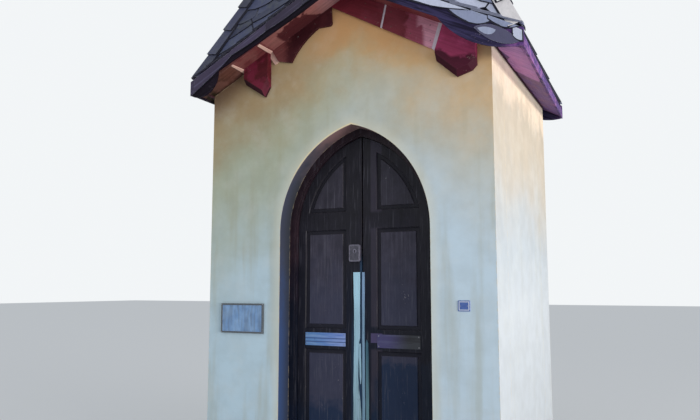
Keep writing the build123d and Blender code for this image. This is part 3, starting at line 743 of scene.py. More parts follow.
lock_metal = old_metal("cast_grey_lock", paint(84, 82, 94), paint(66, 66, 78), 0.35, 0.5, 0.15)
lock_rim_metal = old_metal("rubbed_lock_rim", paint(122, 118, 136), paint(96, 94, 110), 0.35, 0.5, 0.15)
hinge_metal = old_metal("rolled_steel_hinge", paint(110, 106, 102), paint(78, 74, 70), 0.8, 0.42, 0.3)
screw_metal = old_metal("zinc_screws", paint(176, 176, 182), paint(132, 130, 134), 0.8, 0.35, 0.15)
nail_metal = old_metal("rusty_nails", paint(96, 74, 62), paint(66, 48, 42), 0.4, 0.7, 0.4)
lead = old_metal("dull_sheet_metal", paint(122, 124, 136), paint(92, 94, 106), 0.5, 0.5, 0.12)
keyhole_black = Finish("keyhole_black", roughness=0.9)
keyhole_black.colour = tint(noise(keyhole_black.position, 300.0), paint(10, 10, 12), paint(26, 24, 26))
keyhole_black.close()
dress(lock_metal, "door_lock")
dress(hinge_metal, "left_leaf_hinges", "right_leaf_hinges", "frame_hinges")
dress(lead, "hip_covers", "apex_cap")

# %% [markdown]
# ## Slate
# A slated roof reads by its slates: every one has its own tone, thickness and tail. So each is
# a closed body in a joined mesh, and the material gives every loose body a tone of its own
# with Random Per Island. The roof is painted paler on the side towards the lamp, painted light,
# and darker on the left, painted shade, where it also has moss.

# %% Slate, its near-black edge and the near-black layer below, which paint shade
BLUE_SHADE = (paint(14, 19, 50), paint(49, 57, 100))
BROWN_SHADE = (paint(20, 11, 29), paint(51, 39, 67))


def slate_finish(name, dark, middle_tone, pale, moss_cover=0.1, roughness=0.5, painted_light_cover=0.0, stain=0.35,
                 streak=0.0, shaded=BLUE_SHADE, specular=0.5):
    slate = Finish(name, roughness=roughness, specular=specular)
    x = slate.xyz()[0]
    own = slate.surface("Random Per Island")
    slate.colour = tint(fade(own, 0.0, 0.55), dark, middle_tone)
    slate.lay(fade(own, 0.55, 1.0), pale)
    cloud = slate.clouds(0.12, 11.0, 0.15)
    slate.lay(cloud, paint(92, 92, 108), stain)
    shade_side = fade(x, 0.30, -0.85)
    slate.lay(shade_side, tint(own, *shaded), 0.82)
    # Paler towards the lamp: painted light.
    slate.lay(fade(x, 0.05, 0.80), tint(own, paint(140, 150, 184), paint(206, 212, 234)), painted_light_cover)
    slate.lay(slate.clouds(0.09, 29.0, 0.06, moss_cover), paint(98, 104, 70), shade_side * 0.06 + 0.10)
    slate.wear(0.004, 45.0, paint(196, 198, 208), 0.55)
    # Light streaks along the slates: partly grain, partly painted highlights.
    if streak:
        drawn = moved(scaled(down_the_slope(slate), (3.0, 0.0, 60.0)), own * 30.0)
        slate.lay(fade(noise(drawn, 1.0, 2.0, 0.5), 0.54, 0.68), paint(124, 122, 158), streak)
    feed(slate.inputs["Roughness"], cloud * 0.2 + (roughness - 0.1))
    return slate.close(noise(moved(slate.position, own * 40.0), 26.0, 5.0, 0.6), 0.005)


def fine_grained(name, dark, light, stretch, detail, roughness, distance):
    plain = Finish(name, roughness=roughness)
    layers = noise(scaled(plain.position, stretch), 1.0, detail, 0.6)
    plain.colour = tint(layers, dark, light)
    return plain.close(layers, distance)


roof_slate = slate_finish(
    "riven_roof_slate", paint(104, 111, 138), paint(141, 149, 181), paint(185, 191, 216),
    moss_cover=0.4, roughness=0.55, painted_light_cover=0.75, stain=0.25, specular=0.35)
verge_slate = slate_finish(
    "dark_verge_slate", paint(44, 38, 56), paint(74, 66, 90), paint(108, 102, 128),
    stain=0.2, streak=0.22, shaded=BROWN_SHADE, specular=0.25)
hip_slate = slate_finish(
    "pale_hip_slate", paint(232, 228, 230), paint(242, 239, 240), paint(250, 248, 246),
    moss_cover=0.2, roughness=0.55, stain=0.12)
dark_hip_slate = slate_finish(
    "dark_hip_slate", paint(50, 52, 70), paint(76, 78, 100), paint(112, 114, 138), moss_cover=0.35)
lens_slate = slate_finish(
    "grey_lens_slate", paint(58, 56, 84), paint(66, 64, 94), paint(74, 72, 104), stain=0.2)
# Near-black slate sides: painted shade under the tails. The pale set, for the side towards the lamp, is
# painted light.
slate_edge = fine_grained(
    "near_black_slate_edge", paint(16, 16, 26), paint(44, 44, 60), (30.0, 30.0, 220.0), 4.0, 0.8, 0.002)
pale_edge = fine_grained(
    "pale_slate_edge", paint(84, 88, 108), paint(142, 146, 168), (30.0, 30.0, 220.0), 4.0, 0.8, 0.002)
# Near black under the slates, so that the joints read dark: painted shade.
underlay = fine_grained(
    "near_black_under_slates", paint(24, 24, 30), paint(44, 44, 52), (240.0, 240.0, 240.0), 3.0, 0.9, 0.001)
dress(underlay, "tent_slope_front", "tent_slope_back", "tent_slope_left", "tent_slope_right")

# %% Dark eave edge with a purple bloom on the right and painted highlights at its end
eave_paint = Finish("dark_eave_paint", roughness=0.65, specular=0.12)
x = eave_paint.xyz()[0]
lines, height = place(grain, down_the_slope(eave_paint), stretch=(3.5, 6.0, 55.0), seed=14.0)
dark = tint(lines, paint(9, 4, 13), paint(24, 14, 30))
edge_purple = tint(lines, paint(27, 23, 45), paint(60, 55, 92))
bloom = tint(lines, paint(52, 34, 88), paint(92, 66, 130))
eave_paint.colour = tint(fade(x, -0.2, 0.7), dark, edge_purple)
eave_paint.lay(fade(x, 1.22, 1.36), bloom)
# Pale pink clouds at the right end: painted highlights.
eave_paint.lay(eave_paint.clouds(0.10, 6.0, 0.10, 0.42), paint(170, 110, 170), fade(x, 1.25, 1.36, 0.0, 0.55))
eave_paint.lay(eave_paint.chipped(0.02, 0.3, 4.4), paint(176, 160, 184), fade(x, 1.0, 1.35, 0.04, 0.7))
eave_paint.wear(0.004, 60.0, paint(120, 104, 140), fade(x, -0.2, 0.7, 0.08, 0.4))
eave_paint.close(height, 0.003)
dress(eave_paint, "left_verge_boards", "right_verge_boards", "left_fascia", "right_fascia")

# %% [markdown]
# ## Making slates
# A slate is drawn flat as an outline with a bowed tail, then given thickness with its upper
# arris broken. Its riven sides are near black, darker than its face, which paints the shade under
# each tail and in the joints, so the sides have a material of their own. Courses start at the eaves
# on a short hidden course. Each slate lies on the two below it, so its tail is lifted and its head
# rests on the roof. Widths, tails and lifts vary a little, from a seeded list, so that the roof
# looks laid by hand and comes out the same each time. Over a gable the lowest three courses follow
# its slope, and the level ones are sawn to them.

# %% Turn outlines into closed bodies
SLATE_THICK = 0.012


def closed_body(bm, rings, side_index=0, cap_index=0):
    """Joins rings of points into one closed body and caps it; sides may each have their own material."""
    rows = [[bm.verts.new(point) for point in ring] for ring in rings]
    count = len(rows[0])
    for lower, upper in zip(rows, rows[1:]):
        for i in range(count):
            j = (i + 1) % count
            side = bm.faces.new((lower[i], lower[j], upper[j], upper[i]))
            side.material_index = side_index[i] if isinstance(side_index, tuple) else side_index
    for cap in (list(reversed(rows[0])), rows[-1]):
        bm.faces.new(cap).material_index = cap_index


def stacked(bm, layers, side_index=0, cap_index=0):
    """A closed body from outlines in x and z that are given with the y of each."""
    closed_body(bm, [[Vector((x, y, z)) for x, z in outline] for outline, y in layers], side_index, cap_index)


def slate_outline(rng, width, length, bow, steps=10):
    """Points across and down from the middle of the head, in order round the slate."""
    half = width / 2
    points = [(half, 0.0), (-half, 0.0)]
    lean = rng.uniform(-0.25, 0.25)
    for i in range(steps + 1):
        t = i / steps
        arc = 1 - abs(2 * t - 1 + lean * (1 - (2 * t - 1) ** 2)) ** 2.1
        points.append((-half + width * t, length - bow + bow * arc + rng.uniform(-0.003, 0.003)))
    return points


def lay_slate(bm, rng, head, directions, width, length, bow, tail_lift, head_lift=0.0005):
    """One slate from the middle of its head, with the directions across it, down it and out of the roof."""
    across, down, out = directions
    outline = slate_outline(rng, width, length, bow)
    turn = rng.uniform(-0.014, 0.014)
    full, broken = (1.0, 1.0), (1 - min(0.010 / width, 0.05), 1 - 0.006 / length)
    rings = []
    for lift, (narrow, shorten) in ((0.0, full), (SLATE_THICK * 0.8, full), (SLATE_THICK, broken)):
        ring = []
        for a, d in outline:
            raise_by = head_lift + (tail_lift - head_lift) * d / length + lift
            ring.append(head + across * (a * narrow + turn * d) + down * (d * shorten) + out * raise_by)
        rings.append(ring)
    closed_body(bm, rings, 1)


print("a slate has", len(slate_outline(random.Random(0), 0.40, 0.32, 0.06)), "points round it")

# %% Saw bodies off at planes, and make them pieces
def trim(bm, point, outward, closed=True):
    """Saws away what lies beyond a plane and closes the sawn ends, unless they are to be joined."""
    cut = bmesh.ops.bisect_plane(bm, geom=bm.verts[:] + bm.edges[:] + bm.faces[:], dist=1e-6,
                                 plane_co=point, plane_no=outward, clear_outer=True)
    if not closed:
        return
    rim = [part for part in cut["geom_cut"] if isinstance(part, bmesh.types.BMEdge) and part.is_valid]
    for face in bmesh.ops.holes_fill(bm, edges=rim, sides=0)["faces"]:
        face.material_index = 1


def trim_middle(bm, hand, closed=True):
    """Keeps only what is on one hand of the middle."""
    trim(bm, Vector((0, 0, 0)), Vector((-hand, 0, 0)), closed)


def trim_face(bm, front):
    """Saws off what stands past the face of the verge slates."""
    trim(bm, Vector((0, front * FACE_LIMIT, 0)), Vector((0, front, 0)))


def trim_to_eaves(bm):
    """Saws off what stands past the two side eaves."""
    trim(bm, Vector((-SIDE_LIMIT, 0, 0)), Vector((-1, 0, 0)))
    trim(bm, RIGHT_LIMIT, PAST_RIGHT)


def pour(source, target):
    """Moves a bmesh into another one."""
    mesh = bpy.data.meshes.new("moved")
    source.to_mesh(mesh)
    source.free()
    target.from_mesh(mesh)
    bpy.data.meshes.remove(mesh)


def settle(bm, name, slot, *finishes, body="chapel"):
    """Turns a finished bmesh into a piece that rides on its body."""
    bmesh.ops.recalc_face_normals(bm, faces=bm.faces)
    mesh = bpy.data.meshes.new(name)
    bm.to_mesh(mesh)
    bm.free()
    for finish in finishes:
        mesh.materials.append(finish.material)
    if len(finishes) == 1:
        mesh.polygons.foreach_set("material_index", [0] * len(mesh.polygons))
    piece = bpy.data.objects.new(name, mesh)
    bpy.context.scene.collection.objects.link(piece)
    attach(piece, body)
    print(name, len(mesh.polygons), "faces")
    return piece


# %% Where the slopes of the tent are, with the right eave drawn in at the back
ROOF_X, ROOF_X_BACK, ROOF_Y = 1.395, 1.290, 1.190
DECK_TOP, APEX = 0.0675, Vector((0, 0, 6.550))
CAP_FOOT, GABLE_TOP = 6.36, RIDGE + 0.118
SIDE_LIMIT, FACE_LIMIT = 1.4195, 1.2195
# A hand of -1 is the left and 1 the right; a front of -1 is the front and 1 the back.
SIDE, FACE = {-1: "left", 1: "right"}, {-1: "front", 1: "back"}
UP = Vector((0, 0, 1))
Slope = namedtuple("Slope", "first second foot across up out height")
gable_angle = atan(PITCH)


def under_soffit(reach, drop, y=0.0):
    """A point of the low gable roof, at a drop below the soffit."""
    return Vector((reach, y, RIDGE - PITCH * abs(reach) - drop))


def tent_slope(first, second):
    """Both corners of the foot, its middle, unit vectors across, up and outwards, and the height."""
    across = (second - first).normalized()
    out = across.cross(APEX - first).normalized()
    up = out.cross(across)
    foot = first + across * (APEX - first).dot(across)
    return Slope(first, second, foot, across, up, out, (APEX - first).dot(up))


def down_and_out(hand):
    """Down the low gable roof on one hand, and outwards from it."""
    down = Vector((hand * cos(gable_angle), 0, -sin(gable_angle)))
    return down, Vector((hand * sin(gable_angle), 0, cos(gable_angle)))


ROOF_CORNERS = (-ROOF_X, -ROOF_Y), (ROOF_X, -ROOF_Y), (ROOF_X_BACK, ROOF_Y), (-ROOF_X, ROOF_Y)
CORNERS = [under_soffit(x, -DECK_TOP, y) for x, y in ROOF_CORNERS]
ROUND = ("front", "right", "back", "left")
SLOPES = {name: tent_slope(CORNERS[i], CORNERS[(i + 1) % 4]) for i, name in enumerate(ROUND)}
RIGHT_LIMIT = Vector((SIDE_LIMIT, -FACE_LIMIT, 0))
PAST_RIGHT = Vector((SLOPES["right"].across.y, -SLOPES["right"].across.x, 0)).normalized()
print("slopes", {name: round(slope.height, 2) for name, slope in SLOPES.items()}, "m high")

# %% Courses of slates on the four slopes
def lay_courses(bm, rng, slope, exposure=0.148):
    reach_first = (slope.first - slope.foot).dot(slope.across)
    reach_second = (slope.second - slope.foot).dot(slope.across)
    directions = (slope.across, -slope.up, slope.out)
    for course in range(-1, ceil(slope.height / exposure)):
        starter = course < 0
        length = exposure * (0.95 if starter else 2.15)
        tail_at = max(course, 0) * exposure - 0.004
        share = 1 - tail_at / slope.height
        at = reach_first * share - rng.uniform(0.02, 0.30)
        while at < reach_second * share + 0.02:
            width = rng.uniform(0.33, 0.47) if share > 0.25 else rng.uniform(0.20, 0.30)
            head_at = tail_at + length + rng.uniform(-0.010, 0.010)
            head = slope.foot + slope.across * (at + width / 2) + slope.up * head_at
            lift = 0.001 if starter else SLATE_THICK * 1.35 + rng.uniform(0.0, 0.0025)
            bow = 0.004 if starter else min(0.070, width * 0.17) + rng.uniform(-0.012, 0.004)
            lay_slate(bm, rng, head, directions, width - 0.008, length, bow, lift)
            at += width


def rising(vector):
    return vector if vector.z > 0 else -vector


def lay_rising(bm, rng, slope, hand, exposure=0.105, length=0.24, rows=3):
    """The lowest courses of a gabled slope follow the low gable instead of lying level."""
    along = rising(slope.out.cross(down_and_out(hand)[1]).normalized())
    climb = rising(slope.out.cross(along))
    middle = Vector((0, -slope.out.z * (GABLE_TOP - APEX.z) / slope.out.y, GABLE_TOP))
    run = ROOF_X / cos(gable_angle) + 0.25
    widths, bow = ((0.42, 0.62), 0.016) if hand < 0 else ((0.34, 0.46), 0.060)
    for row in range(rows):
        at = -run - rng.uniform(0.0, 0.3)
        while at < 0.3:
            width = rng.uniform(*widths)
            tail_at = row * exposure + rng.uniform(-0.008, 0.008)
            head = middle + along * (at + width / 2) + climb * (tail_at + length)
            lift = SLATE_THICK * 1.3 + rng.uniform(0, 0.003)
            lay_slate(bm, rng, head, (along, -climb, slope.out), width - 0.006, length, bow, lift)
            at += width
    return middle + climb * (rows * exposure - 0.02), -climb


def lay_gabled(name, slope):
    """Level courses that run on over the middle, and rising courses on either hand of it."""
    whole, lowest = bmesh.new(), bmesh.new()
    for hand in (-1, 1):
        level, sloping = bmesh.new(), bmesh.new()
        lay_courses(level, random.Random(name), slope)
        trim(level, *lay_rising(sloping, random.Random(name + str(hand)), slope, hand))
        for part in (level, sloping):
            trim(part, Vector((0, 0, GABLE_TOP)), Vector((-PITCH * hand, 0, -1)).normalized())
        trim_middle(level, hand, closed=False)
        trim_middle(sloping, hand)
        pour(level, whole)
        pour(sloping, lowest)
    seam = [vert for vert in whole.verts if abs(vert.co.x) < 1e-5]
    bmesh.ops.remove_doubles(whole, verts=seam, dist=3e-5)
    bmesh.ops.holes_fill(whole, edges=[edge for edge in whole.edges if edge.is_boundary], sides=0)
    still_open = sum(edge.is_boundary for edge in whole.edges)
    print(name, len(seam), "points joined at the middle,", still_open, "open edges")
    pour(lowest, whole)
    return whole


for name, slope in SLOPES.items():
    if name in FACE.values():
        bm = lay_gabled(name, slope)
    else:
        bm = bmesh.new()
        lay_courses(bm, random.Random(name), slope)
        downward = (slope.across * slope.across.z - UP).normalized()
        trim(bm, slope.first - downward * 0.001, downward)
    for corner, turn in ((slope.first, -1), (slope.second, 1)):
        outward = Vector((-corner.y, corner.x, 0)).normalized() * turn
        trim(bm, outward * -0.012, outward)
    trim(bm, Vector((0, 0, CAP_FOOT + 0.02)), UP)
    trim_to_eaves(bm)
    settle(bm, "tent_slates_" + name, "slated_roof", roof_slate, slate_edge)

# %% [markdown]
# ## The low gables
# Over the front and the back the low gable roof shows as a strip that tapers towards the eaves.
# Its slates point down the slope with their side edges to the verge, so from the front they
# read as long thin flakes, one over the other. They lie on a board that fills the height of the
# verge, their upper ends are sawn to the tent's slope, and bent slabs cover the short ridge.

# %% Slates on the low gable roof, front and back
GABLE_RUN, GABLE_INNER = 1.43 / cos(gable_angle), 0.86
FILLET_FOOT, FILLET_TOP, FILLET_END = 0.066, 0.114, ROOF_Y - 0.001


def trim_gable(bm, hand, front, lift=0.004):
    """Saws a part of the low gable to its own quarter of the roof and to the tent slope over it."""
    slope = SLOPES[FACE[front]]
    trim_face(bm, front)
    trim_middle(bm, hand)
    trim_to_eaves(bm)
    trim(bm, slope.foot + slope.out * lift, -slope.out)


for front, hand in product(FACE, SIDE):
    rng = random.Random(10 * front + hand)
    down, out = down_and_out(hand)
    directions = (Vector((0, -hand, 0)), down, out)
    label = FACE[front] + "_" + SIDE[hand]
    bm = bmesh.new()
    exposure, length = 0.175, 0.42
    for course in range(ceil(GABLE_RUN / exposure) + 1):
        tail_at = GABLE_RUN - course * exposure
        edge = FACE_LIMIT - rng.uniform(0.0, 0.006)
        while edge > GABLE_INNER:
            width = rng.uniform(0.22, 0.32)
            head = Vector((0, front * (edge - width / 2), RIDGE + 0.1155)) + down * (tail_at - length)
            lay_slate(bm, rng, head, directions, width - 0.005, length,
                      bow=0.030, tail_lift=0.026, head_lift=0.001)
            edge -= width
    trim_gable(bm, hand, front)
    # The left half takes the dark verge slate with near-black sides, partly painted shade; the right the pale
    # roof slate with pale sides, partly painted light.
    finishes = (verge_slate, slate_edge) if hand < 0 else (roof_slate, pale_edge)
    settle(bm, "gable_slates_" + label, "slated_roof", *finishes)
    bm = bmesh.new()
    section = [(0.80, FILLET_FOOT), (FILLET_END, FILLET_FOOT), (FILLET_END, FILLET_TOP), (0.80, FILLET_TOP)]
    ends = (under_soffit(0, 0), under_soffit(0, 0) + down * GABLE_RUN)
    closed_body(bm, [[end + Vector((0, front * y, z)) for y, z in section] for end in ends])
    trim_gable(bm, hand, front, -0.006)
    settle(bm, "gable_fillets_" + label, "dark_verge", eave_paint)

# %% [markdown]
# ## Verges
# The edge of the low gable isn't a plain board. On the left, long dark slates are nailed over it
# and step along the slope above a black lower edge that droops at the toe. On the right the
# slates are pale and bowed like scales, and a grey slate shaped like a lens fills the sag of the
# board, with a small pale piece on it that is a painted highlight. The measured boards are
# replaced by these boards and slates, in the same 30 mm.

# %% The curved lower edge of a verge board
VERGE_BASE, VERGE_HEIGHT = RIDGE - 0.015, 0.130
BOARD_FACE = 1.2075
INLAID, ON_INLAY = (BOARD_FACE - 0.0015, BOARD_FACE + 0.005), (BOARD_FACE + 0.0045, BOARD_FACE + 0.006)


def arc_points(first, middle, last, steps):
    """Points on the circle through three points, from the first to the last."""
    (ax, az), (bx, bz), (cx, cz) = first, middle, last
    twice_area = 2 * (ax * (bz - cz) + bx * (cz - az) + cx * (az - bz))
    sa, sb, sc = ax * ax + az * az, bx * bx + bz * bz, cx * cx + cz * cz
    ux = (sa * (bz - cz) + sb * (cz - az) + sc * (az - bz)) / twice_area
    uz = (sa * (cx - bx) + sb * (ax - cx) + sc * (bx - ax)) / twice_area
    begin = atan2(az - uz, ax - ux)
    sweep = (atan2(cz - uz, cx - ux) - begin + pi) % (2 * pi) - pi
    radius = sqrt((ax - ux) ** 2 + (az - uz) ** 2)
    angles = [begin + sweep * i / steps for i in range(steps + 1)]
    return [(ux + radius * cos(a), uz + radius * sin(a)) for a in angles]


def pointed(first, one_side, last, other_side, steps):
    """An outline of two arcs that meet in points."""
    return arc_points(first, one_side, last, steps) + arc_points(last, other_side, first, steps)[1:-1]


def verge_point(reach, rise):
    return (reach, VERGE_BASE - PITCH * reach + rise)


def verge_edge(hand, toe):
    """The lower edge from the ridge to the toe, as reach and height."""
    end = verge_point(toe, 0.008)
    if hand > 0:
        return [verge_point(0, 0)] + arc_points(verge_point(0.8, 0), verge_point(1.1, -0.095), end, 14)
    level = [verge_point(0, 0), verge_point(0.365, 0)]
    return level + arc_points(verge_point(1.14, 0.048), verge_point(toe - 0.11, -0.070), end, 12)


def rise_at(edge, reach):
    """How far the lower edge is above the straight slope at this reach."""
    for (x0, z0), (x1, z1) in zip(edge, edge[1:]):
        if reach <= x1:
            share = (reach - x0) / (x1 - x0)
            return z0 + (z1 - z0) * share - verge_point(reach, 0)[1]
    return 0.0


left_edge = verge_edge(-1, SIDE_LIMIT)
print("the left verge lifts by", round(rise_at(left_edge, 1.14) * 1000), "mm before its toe")

# %% Slates for the verges: a long dark one, a bowed scale, one let into the sag, and a pale spot on it as a painted highlight
def face_slate(bm, rng, hand, front, reach, width, bottoms, steps=9):
    """One slate on the verge: its lower end stands out over the next one down the slope."""
    outline = []
    for i in range(steps + 1):
        t = i / steps
        sag = 0.012 * (1 - (2 * t - 1) ** 2)
        outline.append((t, bottoms[0] + (bottoms[1] - bottoms[0]) * t - sag + rng.uniform(-0.0012, 0.0012)))
    outline += [(1.0 - 0.06 * rng.random(), VERGE_HEIGHT + rng.uniform(-0.003, 0.001)), (0.0, VERGE_HEIGHT)]
    rings = []
    for y, lean in ((BOARD_FACE - 0.002, 0.0), (FACE_LIMIT - 0.006, 0.006)):
        ring = []
        for t, height in outline:
            x, z = verge_point(reach + width * t, height)
            ring.append(Vector((hand * x, front * (y + lean * t), z)))
        rings.append(ring)
    closed_body(bm, rings, 1)


def scallop(bm, front, scale, depth, first, lowest, last, top):
    """One bowed slate given by three points of its lower edge, as reach and height over the straight edge."""
    outline = arc_points(first, lowest, last, 12)
    outline += [(x, max(top, rise)) for x, rise in (last, first)]
    centre = sum(x for x, rise in outline) / len(outline)
    rings = []
    for y, rim in ((BOARD_FACE - 0.0015, 0.0), (depth - 0.002, 0.0), (depth, 0.009)):
        ring = []
        for x, rise in outline:
            x_in = x + (rim if x < centre else -rim) * (abs(x - centre) > 0.03)
            height = verge_point(x * scale, min(rise + rim, max(rise, top)))[1]
            ring.append(Vector((x_in * scale, front * y, height)))
        rings.append(ring)
    closed_body(bm, rings, 1)


def inlay(bm, front, scale, outline, depths):
    placed = [verge_point(x * scale, rise) for x, rise in outline]
    stacked(bm, [(placed, front * y) for y in depths], 1)


# The y of each scale's face, three points of its lower edge as reach and rise, and its top.
SCALES = [
    (1.2160, (-0.05, 0.060), (0.18, 0.052), (0.44, 0.062), 0.130),
    (1.2195, (0.36, 0.062), (0.80, 0.068), (1.06, 0.130), 0.130),
    (1.2150, (0.89, 0.072), (1.06, 0.031), (1.235, 0.130), 0.130),
    (1.2165, (1.17, 0.100), (1.29, 0.078), (1.40, 0.130), 0.130),
    (1.2150, (1.340, 0.052), (1.372, 0.022), (1.4190, 0.030), 0.110),
]
lens_line = pointed((1.075, 0.010), (1.24, -0.040), (1.392, 0.018), (1.235, 0.077), 12)
painted_highlight_spot = pointed((1.100, 0.014), (1.155, 0.042), (1.232, 0.046), (1.185, -0.004), 6)
print(len(SCALES), "scales, and a lens of", len(lens_line), "points")

# %% Verge boards dressed with lapped slates
for hand, side_name in SIDE.items():
    backing, facing, lens = bmesh.new(), bmesh.new(), bmesh.new()
    rng = random.Random(40 + hand)
    for front in FACE:
        toe = SIDE_LIMIT - (ROOF_X - ROOF_X_BACK if hand > 0 and front > 0 else 0.0)
        edge = verge_edge(hand, toe)
        outline = edge + [verge_point(toe, VERGE_HEIGHT), verge_point(0, VERGE_HEIGHT)]
        board_line = [(hand * x, z) for x, z in outline]
        stacked(backing, [(board_line, front * y) for y in (ROOF_Y, BOARD_FACE)])
        if hand < 0:
            reach = -0.08
            while reach < toe:
                width = rng.uniform(0.34, 0.52)
                ends = (max(reach, 0.0), min(reach + width, toe))
                bottoms = [min(rise_at(edge, x) + 0.050, 0.092) for x in ends]
                face_slate(facing, rng, hand, front, reach, width * 1.06, bottoms)
                reach += width
        else:
            scale = toe / SIDE_LIMIT
            for bowed in SCALES:
                scallop(facing, front, scale, *bowed)
            inlay(lens, front, scale, lens_line, INLAID)
            # A pale piece of slate on the lens: painted highlight.
            inlay(facing, front, scale, painted_highlight_spot, ON_INLAY)
    for bm in (backing, facing, lens):
        trim_middle(bm, hand)
        trim_to_eaves(bm)
    board = settle(backing, side_name + "_verge_backing", "dark_verge", eave_paint)
    tone = verge_slate if hand < 0 else roof_slate
    settle(facing, side_name + "_verge_slates", "dark_verge", tone, slate_edge)
    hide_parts(side_name + "_verge_boards")
    if hand > 0:
        settle(lens, "right_verge_lens_slates", "dark_verge", lens_slate, slate_edge)
    else:
        lens.free()

# %% [markdown]
# ## Hips and short ridges
# Each hip is capped by bent slabs, laid from the eaves up with the upper one over the lower, so
# that their ends step out of the silhouette. A slab's section is an angle: two wings that lie on
# the neighbouring slopes and meet over the hip. The hips on the side towards the lamp are pale,
# painted light, and the others are as dark as the verge, painted shade. The short ridges of the
# low gables are capped in the same way.

# %% Bent slabs along a fold between two roof planes
def fold_slabs(bm, rng, foot, along, normals, total, exposed_range, spread_range, base_lift,
               thick=0.013, lap=0.07):
    """Slabs up a fold: each is exposed for a while, laps the next and spreads over both slopes."""
    wings = []
    for normal, other in (normals, normals[::-1]):
        wing = normal.cross(along).normalized()
        wings.append(wing if wing.dot(other) < 0 else -wing)
    bisector = (normals[0] + normals[1]).normalized()
    grow = 1 / bisector.dot(normals[0])
    at = lap
    while at < total:
        exposed = rng.uniform(*exposed_range)
        ends = []
        for s, lift in ((at - 0.010, base_lift + 0.015), (at + exposed + lap, base_lift)):
            spread = rng.uniform(*spread_range)
            middle = foot + along * s
            bottom = middle + bisector * grow * lift
            top = middle + bisector * grow * (lift + thick)
            slant = along * rng.uniform(0.0, 0.02)
            ring = [bottom, bottom + wings[0] * spread + slant, top + wings[0] * (spread - 0.003) + slant]
            ring += [top, top + wings[1] * (spread - 0.003) + slant, bottom + wings[1] * spread + slant]
            ends.append(ring)
        closed_body(bm, ends, (0, 1, 0, 0, 1, 0), 1)
        at += exposed


for corner in CORNERS:
    hand, front = (1 if corner.x > 0 else -1), (1 if corner.y > 0 else -1)
    along = (APEX - corner).normalized()
    total = (APEX - corner).length * (CAP_FOOT - corner.z) / (APEX.z - corner.z)
    normals = (SLOPES[SIDE[hand]].out, SLOPES[FACE[front]].out)
    rng = random.Random(70 + 2 * hand + front)
    bm = bmesh.new()
    fold_slabs(bm, rng, corner, along, normals, total, (0.24, 0.31), (0.090, 0.108), 0.020)
    trim(bm, Vector((0, 0, CAP_FOOT + 0.03)), UP)
    trim_to_eaves(bm)
    trim_face(bm, front)
    trim(bm, corner + UP * 0.002, -UP)
    # Pale on the side towards the lamp, painted light; dark on the other, painted shade.
    tone = hip_slate if hand > 0 else dark_hip_slate
    settle(bm, "hip_slabs_" + FACE[front] + "_" + SIDE[hand], "hip_metal", tone, slate_edge)

# %% Slabs over the short ridges of the low gables
for front, face in FACE.items():
    bm = bmesh.new()
    start = Vector((0, front * (FACE_LIMIT + 0.06), RIDGE + 0.126))
    normals = (down_and_out(-1)[1], down_and_out(1)[1])
    rng = random.Random(90 + front)
    fold_slabs(bm, rng, start, Vector((0, -front, 0)), normals, 0.32, (0.15, 0.18), (0.075, 0.088), 0.014)
    trim_face(bm, front)
    trim(bm, SLOPES[face].foot + SLOPES[face].out * 0.004, -SLOPES[face].out)
    settle(bm, "gable_ridge_slabs_" + face, "hip_metal", dark_hip_slate, slate_edge)

# %% [markdown]
# ## Joints in the trim
# The friezes butt against the corbels with a finger's gap, and the straight frieze is spliced
# once. Those joints are closed by pale fillers, which read as bright slivers between the dark
# boards: painted light, standing for the lit plaster in the gaps. On the left soffit two pale
# cover strips close the joints beside the corbel. On the side towards the lamp curved boards
# patch the soffit in a magenta that is a painted highlight, and a thin batten covers the top of
# each side wall.

# %% Pale fillers in the joints, painted light, and cover strips on the soffit
# The pale fillers stand for the lit plaster in the gaps: painted light.
gap_filler = Finish("pale_gap_filler", roughness=0.8)
x = gap_filler.xyz()[0]
sandy = noise(gap_filler.position, 90.0, 5.0, 0.7)
gap_filler.colour = tint(fade(x, -0.2, 0.1), paint(206, 168, 156), paint(222, 212, 226))
gap_filler.lay(gap_filler.clouds(0.05, 2.0), paint(176, 140, 130), 0.22)
gap_filler.lay(sandy, paint(160, 140, 130), 0.2)
gap_filler.close(sandy, 0.002)

splice = [(0.305, 0), (0.265, 0.2016), (0.283, 0.2020), (0.323, 0)]
butt = [(0.750, 0), (0.690, 0.2235), (0.725, 0.237), (0.791, 0)]
left_butt = [(-0.735, 0), (-0.673, 0.128), (-0.712, 0.128), (-0.754, 0.050), (-0.754, 0)]
bm = bmesh.new()
for wall, front in ((-WALL_FRONT, -1), (WALL_BACK, 1)):
    for outline, depth in ((splice, 0.016), (butt, 0.0238), (left_butt, 0.012)):
        faces = (front * (wall - 0.002), front * (wall + depth))
        closed_body(bm, [[under_soffit(*point, y) for point in outline] for y in faces])
    for reach, near, far in ((-1.006, 0.030, 0.012), (-0.744, 0.026, 0.018)):
        rings = []
        for y, width in ((wall, near), (ROOF_Y - 0.0005, far)):
            strip = ((-0.5, -0.001), (0.5, -0.001), (0.5, 0.008), (-0.5, 0.008))
            rings.append([under_soffit(reach + side * width, drop, front * y) for side, drop in strip])
        closed_body(bm, rings)
settle(bm, "trim_gap_fillers", "plaster", gap_filler)

# %% Curved patches on the soffit towards the lamp, in a painted highlight, and battens where the eaves meet the walls
bm = bmesh.new()
lens_front = arc_points((1.160, -0.800), (1.255, -1.020), (1.372, -1.080), 10)
lens_back = arc_points((1.372, -1.080), (1.330, -0.790), (1.225, -0.610), 10)
long_front = arc_points((1.384, -1.100), (1.392, -0.560), (1.330, -0.140), 10)
long_back = arc_points((1.330, -0.140), (1.190, -0.210), (1.165, -0.560), 10)
for outline, depth in ((lens_front + lens_back[1:], 0.006), (long_front + long_back[1:], 0.0035)):
    closed_body(bm, [[under_soffit(x, drop, y) for x, y in outline] for drop in (-0.001, depth)])
